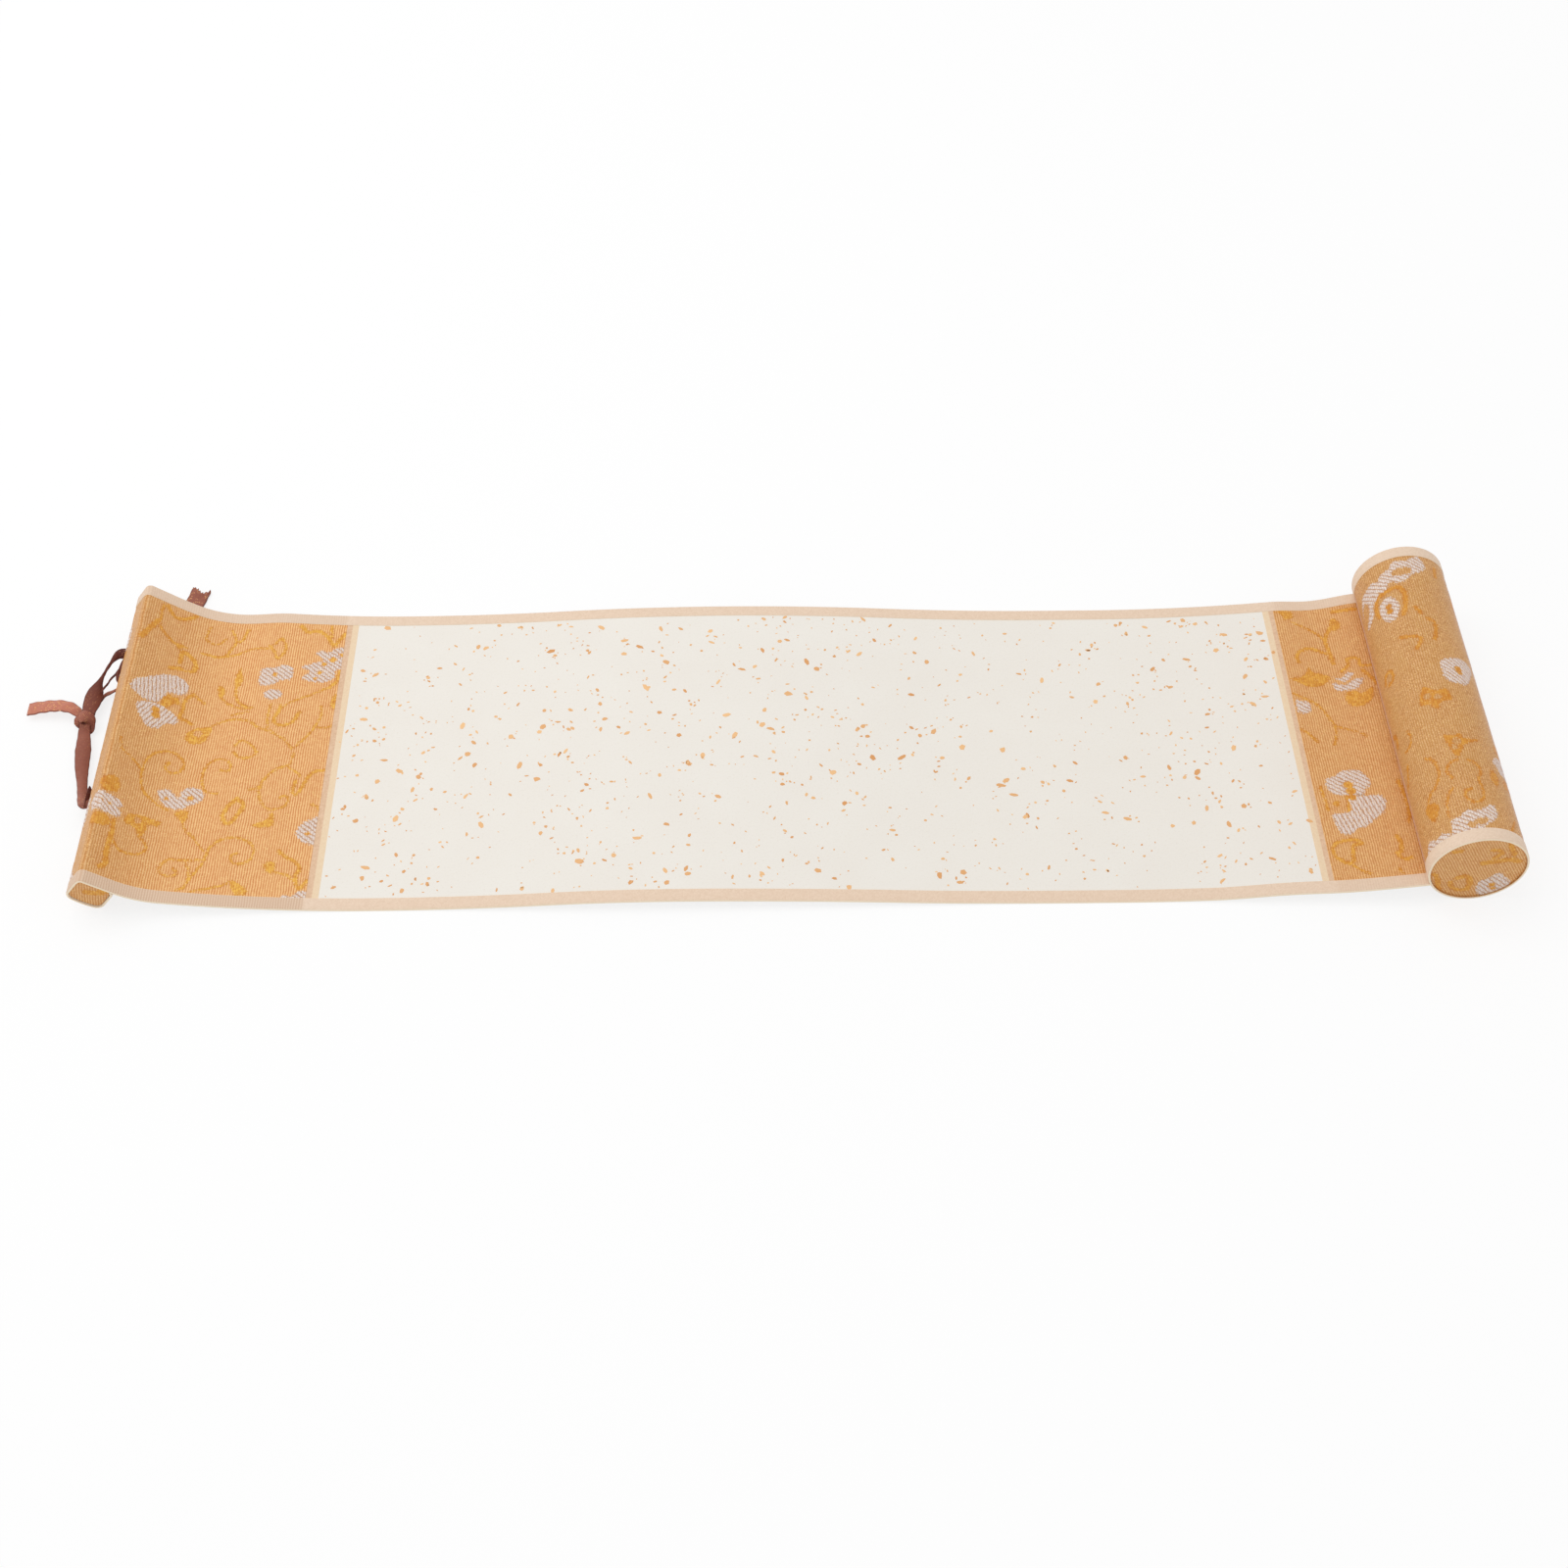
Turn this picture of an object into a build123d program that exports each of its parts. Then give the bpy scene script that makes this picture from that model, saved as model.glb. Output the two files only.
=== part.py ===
from build123d import *
import os
from math import cos, pi, radians, sin, sqrt, tan

# A small blank hand scroll, laid open on a table with its writing side up.
# X runs along the scroll from the stave to the roller, Y along the two rods
# away from the viewer, and Z is up. The origin is on the table, under the
# middle of the scroll. Sizes are in millimetres and degrees.

# The flat sheet: its width, and its parts in order from the stave to the roller.
scroll_width = 120.0
head_brocade_length = 56.2
head_band_width = 1.8
cream_line_width = 2.0
paper_length = 298.5
tail_band_width = 1.5
tail_brocade_length = 27.5
edge_strip_width = 4.3

# The layers that are pasted on each other, from the table up.
backing_thickness = 0.35
panel_thickness = 0.2
strip_thickness = 0.15

# The stave at the head of the scroll: a rod with a flat face and a crowned back.
stave_width = 10.2
stave_depth = 8.7
stave_crown = 0.6
stave_face_radius = 0.7
stave_back_radius = 2.2
stave_lap_fade = 1.6

# The roller at the tail of the scroll.
roller_rod_diameter = 27.6

# The brocade patches that close the rods' ends, set in from the scroll's edge.
cap_thickness = 0.3
cap_recess = 0.35

# The figures woven into the brocade: thicker yarns, so they stand proud of its ground.
figure_relief = 0.1
vine_width = 1.1
bud_radius = 1.0
petal_sides = 8
bud_sides = 4
curl_chords = 3

# How the sheet lies: the lengths of its bends and what each one turns through.
curl_length = 13.9
curl_turn = 27.8
run_down_length = 61.0
run_down_turn = 9.2
wave_turn = 3.75
trough_flat_length = 15.0
rise_length = 89.0
rise_turn = 8.9

# The tie: flat ribbon that comes out of two slits in the stave's outer side.
ribbon_width = 6.5
ribbon_thickness = 0.4
ribbon_rest = 0.1
slit_depth = 1.5
slit_height = 9.5
near_slit_y = -26.0
far_slit_y = 34.5
knot_width = 7.0
knot_length = 7.0
knot_height = 4.6
knot_rounding = 1.0
knot_reach = 9.4
knot_y = 12.8

os.makedirs("parts", exist_ok=True)

# Heights over the sheet's underside.
wrap_thickness = backing_thickness + panel_thickness
sheet_thickness = wrap_thickness + strip_thickness

# Distances along the sheet, from the far edge of the stave's flat face.
stave_face_length = stave_width - 2 * stave_face_radius
head_brocade_end = stave_face_length + head_brocade_length
head_band_end = head_brocade_end + head_band_width
paper_start = head_band_end + cream_line_width
paper_end = paper_start + paper_length
tail_line_end = paper_end + cream_line_width
tail_band_end = tail_line_end + tail_band_width
sheet_end = tail_band_end + tail_brocade_length

# The bends in order from the stave to the roller, as (length, upward turn).
# Four equal bends make the long low wave between the two places that touch the
# table, and the last straight one runs on into the roller, which trims it.
stave_slope = curl_turn + run_down_turn
ends_length = stave_face_length + curl_length + run_down_length
wave_quarter = (sheet_end - ends_length - trough_flat_length - rise_length) / 4
roller_tuck = 2 * sheet_thickness
BENDS = [
    (stave_face_length, 0.0),
    (curl_length, curl_turn),
    (run_down_length, run_down_turn),
    (wave_quarter, wave_turn),
    (wave_quarter, -wave_turn),
    (wave_quarter, -wave_turn),
    (wave_quarter, wave_turn),
    (trough_flat_length, 0.0),
    (rise_length, rise_turn),
    (roller_tuck, 0.0),
]
FIRST_TROUGH = 3


def step_along(x, z, heading, length, turn):
    """Place and heading at the end of a bend that starts at x, z."""
    if turn == 0:
        return x + length * cos(heading), z + length * sin(heading), heading
    radius = length / radians(turn)
    after = heading + radians(turn)
    x_after = x + radius * (sin(after) - sin(heading))
    z_after = z + radius * (cos(heading) - cos(after))
    return x_after, z_after, after


def bend_starts():
    """Distance, place and heading where each bend starts, with the first trough at z = 0."""
    rows = [(0.0, 0.0, 0.0, radians(-stave_slope))]
    for length, turn in BENDS:
        distance, x, z, heading = rows[-1]
        rows.append((distance + length, *step_along(x, z, heading, length, turn)))
    trough_z = rows[FIRST_TROUGH][2]
    return [(distance, x, z - trough_z, heading) for distance, x, z, heading in rows]


STARTS = bend_starts()


def bend_number(distance):
    """Number of the bend that holds a distance along the sheet."""
    passed = [n for n in range(len(BENDS)) if STARTS[n][0] <= distance]
    return passed[-1]


def on_sheet(distance, height):
    """Side-view point at a distance along the sheet and a height over its underside."""
    number = bend_number(distance)
    start, x, z, heading = STARTS[number]
    length, turn = BENDS[number]
    run = distance - start
    x, z, heading = step_along(x, z, heading, run, turn * run / length)
    return x - height * sin(heading), z + height * cos(heading)


def layer_outline(start, end, low, high):
    """Edges round one layer of the sheet, between two distances and two heights."""
    cuts = [row[0] for row in STARTS if start < row[0] < end]
    stops = [start, *cuts, end]
    with BuildLine() as outline:
        for height in (low, high):
            for first, last in zip(stops[:-1], stops[1:]):
                middle = (first + last) / 2
                if BENDS[bend_number(middle)][1] == 0:
                    Line(on_sheet(first, height), on_sheet(last, height))
                else:
                    through = on_sheet(middle, height)
                    ThreePointArc(on_sheet(first, height), through, on_sheet(last, height))
        Line(on_sheet(start, low), on_sheet(start, high))
        Line(on_sheet(end, low), on_sheet(end, high))
    return outline.edges()


# The roller in its wrapping stands on the table, and the sheet ends on its side.
roller_rod_radius = roller_rod_diameter / 2
roller_wrap_radius = roller_rod_radius + wrap_thickness
roller_radius = roller_wrap_radius + strip_thickness
sheet_reach = sheet_end + roller_tuck
crease_x, crease_z = on_sheet(sheet_end, 0.0)
crease_drop = roller_radius - crease_z
roller_x = crease_x + sqrt(roller_wrap_radius**2 - crease_drop**2)
roller_place = (roller_x, roller_radius)

# The stave's section, drawn with its flat face up: the sheet's underside is the
# line y = 0, and the sheet leaves the stave at x = 0.
stave_right = stave_face_radius
stave_left = stave_right - stave_width
stave_top = -wrap_thickness
stave_bottom = stave_top - stave_depth
stave_shoulder = stave_bottom + stave_crown

with BuildSketch() as stave_section:
    with BuildLine():
        ThreePointArc(
            (stave_left, stave_shoulder),
            ((stave_left + stave_right) / 2, stave_bottom),
            (stave_right, stave_shoulder),
        )
        Polyline(
            (stave_right, stave_shoulder),
            (stave_right, stave_top),
            (stave_left, stave_top),
            (stave_left, stave_shoulder),
        )
    make_face()
    fillet(stave_section.vertices().group_by(Axis.Y)[-1], stave_face_radius)
    fillet(stave_section.vertices().group_by(Axis.Y)[0], stave_back_radius)


def lap_outline(proud):
    """Edges of the place where the sheet's end fades into the wrap round the stave."""
    middle = (-stave_face_length, -stave_lap_fade)
    across = stave_face_radius + wrap_thickness + proud
    upward = stave_lap_fade + wrap_thickness + proud
    with BuildLine() as outline:
        fade = EllipticalCenterArc(middle, across, upward, start_angle=90, arc_size=90)
        Polyline(fade @ 1, middle, fade @ 0)
    return outline.edges()


with BuildSketch() as stave_wrap_section:
    add(stave_section.sketch)
    offset(amount=wrap_thickness)
    make_face(lap_outline(0.0))

with BuildSketch() as stave_strip_section:
    add(stave_section.sketch)
    offset(amount=sheet_thickness)
    make_face(lap_outline(strip_thickness))

# The stave's place in the side view, and the middle of the whole scroll there.
stave_place = Location((*on_sheet(stave_face_length, 0.0), 0), (0, 0, -stave_slope))
stave_rod_face = stave_section.sketch.moved(stave_place)
stave_wrap_face = stave_wrap_section.sketch.moved(stave_place)
stave_strip_face = stave_strip_section.sketch.moved(stave_place)
left_side_x = stave_strip_face.bounding_box().min.X
middle_x = (left_side_x + roller_x + roller_radius) / 2


def side_plane(y):
    """Plane of the side view at a place across the scroll, facing the viewer."""
    return Plane(origin=(-middle_x, y, 0), x_dir=(1, 0, 0), z_dir=(0, -1, 0))


def on_plan(distance, across):
    """Plan-view point over a distance along the sheet, at a place across it."""
    return on_sheet(distance, wrap_thickness)[0] - middle_x, across


def on_tail(reach, across):
    """Plan-view point over a reach along the tail brocade, at a place across it."""
    return on_plan(tail_band_end + reach, across)


def over_roller(reach, across):
    """Plan-view point over the roller, at a reach from its middle line."""
    return roller_x + reach - middle_x, across


# The woven figures, each with its place along and across: along from the stave, from
# the tail brocade's start or from the roller's middle line. A petal and a leaf have a
# length, a width and a turn, and a curl of vine a radius, a turn and its winding.
HEAD_PETALS = [
    (10, 21, 17, 9, 25),
    (10.5, 9, 14, 9, -15),
    (45, 32.3, 10.5, 7, 20),
    (44.8, 24, 5.5, 4, 0),
    (58.4, 34, 10, 7, 10),
    (60.2, 42.4, 7, 6, 30),
    (18.6, -21.4, 6, 6.5, 20),
    (26, -20, 7.5, 7, -25),
]
HEAD_LEAVES = [
    (24, 5.5, 9, 5.5, 45),
    (33.2, 31.5, 8, 2.8, 90),
    (49.5, -27.4, 7, 4, -20),
    (13, -32.5, 11, 5, 5),
    (39.6, -24.4, 8, 4, 60),
]
HEAD_CURLS = [
    (16, -10, 5.8, 240, -180),
    (32.4, -10.6, 4.6, 250, -180),
    (41.4, -40.2, 5.8, 200, -180),
    (52.2, 16.6, 5.4, 100, 180),
    (51, -13.4, 5.6, 60, 180),
]
TAIL_PETALS = [
    (10.8, -18.8, 13, 8.5, 10),
    (13.2, -31, 15, 11, 20),
    (17.6, 24.4, 9, 4.5, -10),
]
TAIL_LEAVES = [
    (7.2, 25.4, 11, 5, 5),
    (20.2, 14.8, 7, 5.5, 20),
]
TAIL_CURLS = [
    (9.2, 34, 4.6, 180, -180),
    (6.8, 8, 4.6, 60, -180),
]
ROLLER_PETALS = [
    (6.2, 6, 9, 9, 0),
    (-2.6, 49, 11, 8, 25),
    (-3.4, -50.6, 11, 7, 15),
]
ROLLER_LEAVES = [
    (-4.4, -4, 8, 6, 10),
    (-2.4, -24, 9, 5, -20),
    (2, 25, 6, 3, 60),
]
ROLLER_CURLS = [
    (-0.6, -38.4, 4.6, 80, -180),
]


def petal(length, width, turn):
    """A petal of the flower with stepped thread edges, open at its bud."""
    angles = [2 * pi * side / petal_sides for side in range(petal_sides)]
    corners = [(length / 2 * cos(angle), width / 2 * sin(angle)) for angle in angles]
    with BuildSketch(mode=Mode.PRIVATE) as shape:
        Polygon(*corners, rotation=turn, align=None)
        if min(length, width) > 5 * bud_radius:
            RegularPolygon(bud_radius, bud_sides, mode=Mode.SUBTRACT)
    return shape.sketch


def leaf(length, width, turn):
    """A pointed leaf with stepped thread edges."""
    corners = [(share * length / 2, (1 - share**2) * width / 2) for share in (-1, -0.4, 0.4, 1)]
    corners += [(along, -across) for along, across in corners[2:0:-1]]
    with BuildSketch(mode=Mode.PRIVATE) as shape:
        Polygon(*corners, rotation=turn, align=None)
    return shape.sketch


def curl(radius, turn, winding):
    """A curl of vine: two half rounds of chords, the second one smaller."""
    inner = 0.6 * radius
    places = []
    for reach, middle, start in ((radius, 0, 0), (inner, inner - radius, pi)):
        for chord in range(1 if places else 0, curl_chords + 1):
            angle = start + radians(winding) * chord / curl_chords
            places.append((middle + reach * cos(angle), reach * sin(angle)))
    with BuildSketch(mode=Mode.PRIVATE) as shape:
        with BuildLine():
            Polyline(*places)
        trace(line_width=vine_width)
    return shape.sketch.rotate(Axis.Z, turn)


def woven_figures(layer, place_of, petals, leaves, curls, base):
    """The woven figures over one layer of the cloth, cut from upright prisms."""
    with BuildPart(mode=Mode.PRIVATE) as figures:
        with BuildSketch(Plane.XY.offset(base)):
            for make, rows in ((petal, petals), (leaf, leaves), (curl, curls)):
                for along, across, *form in rows:
                    with Locations(place_of(along, across)):
                        add(make(*form))
        extrude(amount=2 * roller_radius)
        with BuildSketch(side_plane(scroll_width / 2)):
            add(layer)
        extrude(amount=scroll_width, mode=Mode.INTERSECT)
    return figures.part


half_width = scroll_width / 2
sheet_half_width = half_width - strip_thickness
rod_half_length = half_width - cap_recess - cap_thickness
far_side = side_plane(sheet_half_width)
sheet_width = 2 * sheet_half_width

# The backing paper runs from the stave's flat face to the roller's side.
with BuildPart() as backing_sheet:
    with BuildSketch(far_side):
        make_face(layer_outline(0, sheet_reach, 0, backing_thickness))
        with Locations(roller_place):
            Circle(roller_wrap_radius, mode=Mode.SUBTRACT)
    extrude(amount=sheet_width)
backing_sheet.part.label = "backing_sheet"

# The writing paper, and the narrow strips that cross the scroll beside it.
panels = {
    "head_cross_band": (head_brocade_end, head_band_end),
    "head_cream_line": (head_band_end, paper_start),
    "paper_panel": (paper_start, paper_end),
    "tail_cream_line": (paper_end, tail_line_end),
    "tail_cross_band": (tail_line_end, tail_band_end),
}
for name, (start, end) in panels.items():
    with BuildPart() as panel:
        with BuildSketch(far_side):
            make_face(layer_outline(start, end, backing_thickness, wrap_thickness))
        extrude(amount=sheet_width)
    panel.part.label = name
    export_step(panel.part, f"parts/{name}.step")

# The layers that the figures fill: from the middle of the brocade's thickness up.
figure_low = wrap_thickness - panel_thickness / 2
figure_high = wrap_thickness + figure_relief
with BuildSketch() as head_layer:
    make_face(layer_outline(0, head_brocade_end, figure_low, figure_high))
head_ground = head_layer.sketch
with BuildSketch() as tail_layer:
    make_face(layer_outline(tail_band_end, sheet_end, figure_low, figure_high))
tail_ground = tail_layer.sketch
with BuildSketch() as roller_layer:
    with Locations(roller_place):
        Circle(roller_rod_radius + figure_high)
        Circle(roller_rod_radius + figure_low, mode=Mode.SUBTRACT)
roller_ground = roller_layer.sketch

# The head brocade lies on the backing and wraps the stave.
with BuildPart() as head_brocade:
    with BuildSketch(far_side):
        add(stave_wrap_face)
        add(stave_rod_face, mode=Mode.SUBTRACT)
        make_face(layer_outline(0, head_brocade_end, backing_thickness, wrap_thickness))
    extrude(amount=sheet_width)
    add(woven_figures(head_ground, on_plan, HEAD_PETALS, HEAD_LEAVES, HEAD_CURLS, 0.0))
head_brocade.part.label = "head_brocade"

# The tail brocade lies on the backing and wraps the roller.
with BuildPart() as tail_brocade:
    with BuildSketch(far_side):
        make_face(layer_outline(tail_band_end, sheet_reach, backing_thickness, wrap_thickness))
        with Locations(roller_place):
            Circle(roller_wrap_radius)
            Circle(roller_rod_radius, mode=Mode.SUBTRACT)
    extrude(amount=sheet_width)
    add(woven_figures(tail_ground, on_tail, TAIL_PETALS, TAIL_LEAVES, TAIL_CURLS, 0.0))
    upper = (roller_ground, over_roller, ROLLER_PETALS, ROLLER_LEAVES, ROLLER_CURLS)
    add(woven_figures(*upper, roller_radius))
tail_brocade.part.label = "tail_brocade"

# The edge strip covers the scroll's long edge, goes round both rods with the
# brocade, and folds down over the ends of all the layers.
with BuildPart() as front_edge_strip:
    with BuildSketch(side_plane(-half_width)):
        add(stave_strip_face)
        with Locations(roller_place):
            Circle(roller_radius)
        make_face(layer_outline(0, sheet_reach, 0, sheet_thickness))
        add(stave_wrap_face, mode=Mode.SUBTRACT)
        with Locations(roller_place):
            Circle(roller_wrap_radius, mode=Mode.SUBTRACT)
        make_face(layer_outline(0, sheet_reach, 0, wrap_thickness), mode=Mode.SUBTRACT)
    extrude(amount=-edge_strip_width)
    with BuildSketch(side_plane(-half_width)):
        add(stave_strip_face)
        with Locations(roller_place):
            Circle(roller_radius)
        make_face(layer_outline(0, sheet_reach, 0, sheet_thickness))
        add(stave_rod_face, mode=Mode.SUBTRACT)
        with Locations(roller_place):
            Circle(roller_rod_radius, mode=Mode.SUBTRACT)
    extrude(amount=-strip_thickness)
front_edge_strip.part.label = "front_edge_strip"

with BuildPart() as back_edge_strip:
    mirror(front_edge_strip.part, about=Plane.XZ)
back_edge_strip.part.label = "back_edge_strip"

# The two wooden rods, and the brocade patches over their ends.
with BuildPart() as stave_rod:
    with BuildSketch(side_plane(rod_half_length)):
        add(stave_rod_face)
    extrude(amount=2 * rod_half_length)
stave_rod.part.label = "stave_rod"

with BuildPart() as stave_front_cap:
    with BuildSketch(side_plane(-rod_half_length)):
        add(stave_rod_face)
    extrude(amount=cap_thickness)
stave_front_cap.part.label = "stave_front_cap"

with BuildPart() as stave_back_cap:
    mirror(stave_front_cap.part, about=Plane.XZ)
stave_back_cap.part.label = "stave_back_cap"

with BuildPart() as roller_rod:
    with BuildSketch(side_plane(rod_half_length)):
        with Locations(roller_place):
            Circle(roller_rod_radius)
    extrude(amount=2 * rod_half_length)
roller_rod.part.label = "roller_rod"

with BuildPart() as roller_front_cap:
    with BuildSketch(side_plane(-rod_half_length)):
        with Locations(roller_place):
            Circle(roller_rod_radius)
    extrude(amount=cap_thickness)
roller_front_cap.part.label = "roller_front_cap"

with BuildPart() as roller_back_cap:
    mirror(roller_front_cap.part, about=Plane.XZ)
roller_back_cap.part.label = "roller_back_cap"

# The tie. Its places count from the stave's outer side, left of it and across.
slit_x = left_side_x - middle_x + slit_depth
knot_x = left_side_x - middle_x - knot_reach
knot_z = ribbon_rest + knot_height / 2
near_slit = (slit_x, near_slit_y)
far_slit = (slit_x, far_slit_y)
knot_middle = (knot_x, knot_y)
wrap_side_x = stave_wrap_face.bounding_box().min.X - middle_x
stave_side = Plane(origin=(wrap_side_x, 0, 0), z_dir=(-1, 0, 0))

with BuildPart() as tie_knot:
    with Locations((knot_x, knot_y, knot_z)):
        Box(knot_width, knot_length, knot_height)
    fillet(tie_knot.edges(), knot_rounding)
tie_knot.part.label = "tie_knot"


def bend_radii(points):
    """The largest radius that each corner of a route has room for."""
    runs = [Vector(*b) - Vector(*a) for a, b in zip(points[:-1], points[1:])]
    pairs = list(zip(runs[:-1], runs[1:]))
    half_turns = [radians(a.get_angle(b)) / 2 for a, b in pairs]
    return [
        0.45 * min(a.length, b.length) / tan(half)
        for (a, b), half in zip(pairs, half_turns)
    ]


def hanging_ribbon(start, end, heights):
    """A straight ribbon from one place to another, over (share of the way, height) points."""
    along = Vector(end[0] - start[0], end[1] - start[1])
    route = [(share * along.length, height) for share, height in heights]
    radii = bend_radii(route)
    print("ribbon bend radii", [round(radius, 1) for radius in radii])
    upright = Plane(origin=(*start, 0), x_dir=(along.X, along.Y, 0), z_dir=(along.Y, -along.X, 0))
    with BuildPart() as strip:
        with BuildSketch(upright):
            with BuildLine():
                FilletPolyline(*route, radius=radii)
            trace(line_width=ribbon_thickness)
        extrude(amount=ribbon_width / 2, both=True)
    return strip.part


near_heights = [(0, slit_height), (0.5, 2.0), (1, knot_z)]
far_heights = [(0, slit_height), (0.5, 4.6), (1, knot_z + 0.6)]
left_heights = [(0, knot_z - 0.6), (0.45, 2.6), (1, ribbon_rest + ribbon_thickness)]
left_tail_end = (knot_x - 20.2, knot_y + 7.6)

with BuildPart() as tie_near_strand:
    add(hanging_ribbon(near_slit, knot_middle, near_heights))
    split(bisect_by=stave_side)
    add(tie_knot.part, mode=Mode.SUBTRACT)
tie_near_strand.part.label = "tie_near_strand"

with BuildPart() as tie_far_strand:
    add(hanging_ribbon(far_slit, knot_middle, far_heights))
    split(bisect_by=stave_side)
    add(tie_knot.part, mode=Mode.SUBTRACT)
tie_far_strand.part.label = "tie_far_strand"

with BuildPart() as tie_left_tail:
    add(hanging_ribbon(knot_middle, left_tail_end, left_heights))
    add(tie_knot.part, mode=Mode.SUBTRACT)
tie_left_tail.part.label = "tie_left_tail"

# The back tail lies on the table, goes under the stave and comes out behind.
back_tail_route = [
    (knot_x, knot_y),
    (knot_x + 0.8, knot_y + 7.2),
    (knot_x + 4.9, knot_y + 18.2),
    (knot_x + 14.9, knot_y + 36.2),
    (knot_x + 24.4, knot_y + 52.2),
    (knot_x + 27.0, knot_y + 60.7),
]
back_tail_radii = bend_radii(back_tail_route)
print("back tail bend radii", [round(radius, 1) for radius in back_tail_radii])
with BuildPart() as tie_back_tail:
    with BuildSketch(Plane.XY.offset(ribbon_rest)):
        with BuildLine():
            FilletPolyline(*back_tail_route, radius=back_tail_radii)
        trace(line_width=ribbon_width)
    extrude(amount=ribbon_thickness)
    add(tie_knot.part, mode=Mode.SUBTRACT)
tie_back_tail.part.label = "tie_back_tail"

pieces = [
    backing_sheet,
    head_brocade,
    tail_brocade,
    front_edge_strip,
    back_edge_strip,
    stave_rod,
    stave_front_cap,
    stave_back_cap,
    roller_rod,
    roller_front_cap,
    roller_back_cap,
    tie_near_strand,
    tie_far_strand,
    tie_knot,
    tie_left_tail,
    tie_back_tail,
]
for piece in pieces:
    export_step(piece.part, f"parts/{piece.part.label}.step")
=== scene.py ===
"""A small blank hand scroll, laid open: the looks of its cloth, paper and ribbon tie.

Lengths here are millimetres and angles are degrees, as on a maker's drawing, and turn
into metres where a mesh is made. X runs along the scroll from the stave to the roller,
Y away from the viewer and Z up. Each sheet is cut flat and then laid along the bends of
the scroll, so a pattern on it keeps its flat places in the UV map "flat".
"""
import math
import random

import bmesh
import bpy
import numpy as np
from mathutils import Matrix, Vector


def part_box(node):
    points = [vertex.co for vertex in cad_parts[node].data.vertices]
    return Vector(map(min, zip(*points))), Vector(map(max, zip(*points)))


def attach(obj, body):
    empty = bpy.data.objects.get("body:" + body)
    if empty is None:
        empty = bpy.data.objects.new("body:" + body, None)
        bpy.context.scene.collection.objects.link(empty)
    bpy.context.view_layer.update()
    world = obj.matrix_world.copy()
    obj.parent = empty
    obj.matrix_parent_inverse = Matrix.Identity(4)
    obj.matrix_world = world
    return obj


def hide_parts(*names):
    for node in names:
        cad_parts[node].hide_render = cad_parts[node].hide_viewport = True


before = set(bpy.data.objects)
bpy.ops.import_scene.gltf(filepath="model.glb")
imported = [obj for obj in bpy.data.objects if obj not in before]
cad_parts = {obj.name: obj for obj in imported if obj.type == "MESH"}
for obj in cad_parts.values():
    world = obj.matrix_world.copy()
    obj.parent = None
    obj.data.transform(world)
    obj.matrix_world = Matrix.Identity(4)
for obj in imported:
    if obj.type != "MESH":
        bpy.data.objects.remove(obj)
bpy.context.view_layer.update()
MM = 0.001

# The flat sheet: its width, and the places along it counted from the stave's flat face.
HALF_WIDTH = 60.0
STRIP_WIDTH = 4.3
STAVE_FACE = 8.8
HEAD_BROCADE_END = STAVE_FACE + 56.2
HEAD_BAND_END = HEAD_BROCADE_END + 1.8
PAPER_START = HEAD_BAND_END + 2.0
PAPER_END = PAPER_START + 298.5
TAIL_LINE_END = PAPER_END + 2.0
TAIL_BAND_END = TAIL_LINE_END + 1.5
SHEET_END = TAIL_BAND_END + 27.5

# Heights over the sheet's underside, which go on round both rods.
BACKING_TOP = 0.35
PANEL_TOP = 0.55
STRIP_TOP = 0.7

# The stave's section and the roller.
STAVE_WIDTH = 10.2
STAVE_DEPTH = 8.7
STAVE_CROWN = 0.6
STAVE_FACE_RADIUS = 0.7
STAVE_BACK_RADIUS = 2.2
STAVE_LAP_FADE = 1.6
ROLLER_ROD_RADIUS = 13.8
ROLLER_RADIUS = ROLLER_ROD_RADIUS + STRIP_TOP
CAP_FACE = HALF_WIDTH - 0.35

# The bends of the sheet as (length, upward turn), from the stave to the roller.
STAVE_SLOPE = 37.0
WAVE_TURN = 3.75
DOWN_BENDS = [(STAVE_FACE, 0.0), (13.9, 27.8), (61.0, 9.2)]
UP_BENDS = [(15.0, 0.0), (89.0, 8.9)]
WAVE_QUARTER = (SHEET_END - sum(bend[0] for bend in DOWN_BENDS + UP_BENDS)) / 4
WAVE_BENDS = [(WAVE_QUARTER, side * WAVE_TURN) for side in (1, -1, -1, 1)]
PATH_STEP = 0.25
ARC_STEP = 6.0

# Where the sheet isn't the same from front to back: the middle of each dip or rise, its
# reach along the sheet, its height, and the edge that it belongs to (1 is the back). The
# sheet's middle line takes a share of each.
SAG_IN_MIDDLE = 0.35
SHEET_SAGS = [
    (28.0, 19.0, -2.3, 1),
    (384.0, 14.0, -1.3, 1),
    (215.0, 75.0, -0.8, -1),
    (357.0, 22.0, 0.8, -1),
]


def arc_rows(centre, radii, start, end):
    """Places and outward directions along an arc, from one angle to another."""
    steps = max(2, round(abs(end - start) / ARC_STEP))
    angles = np.radians(np.linspace(start, end, steps + 1))
    outward = np.stack([np.cos(angles) * radii[1], np.sin(angles) * radii[0]], 1)
    outward /= np.linalg.norm(outward, axis=1)[:, None]
    places = np.stack([np.cos(angles) * radii[0], np.sin(angles) * radii[1]], 1)
    return np.hstack([places + centre, outward])


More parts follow.
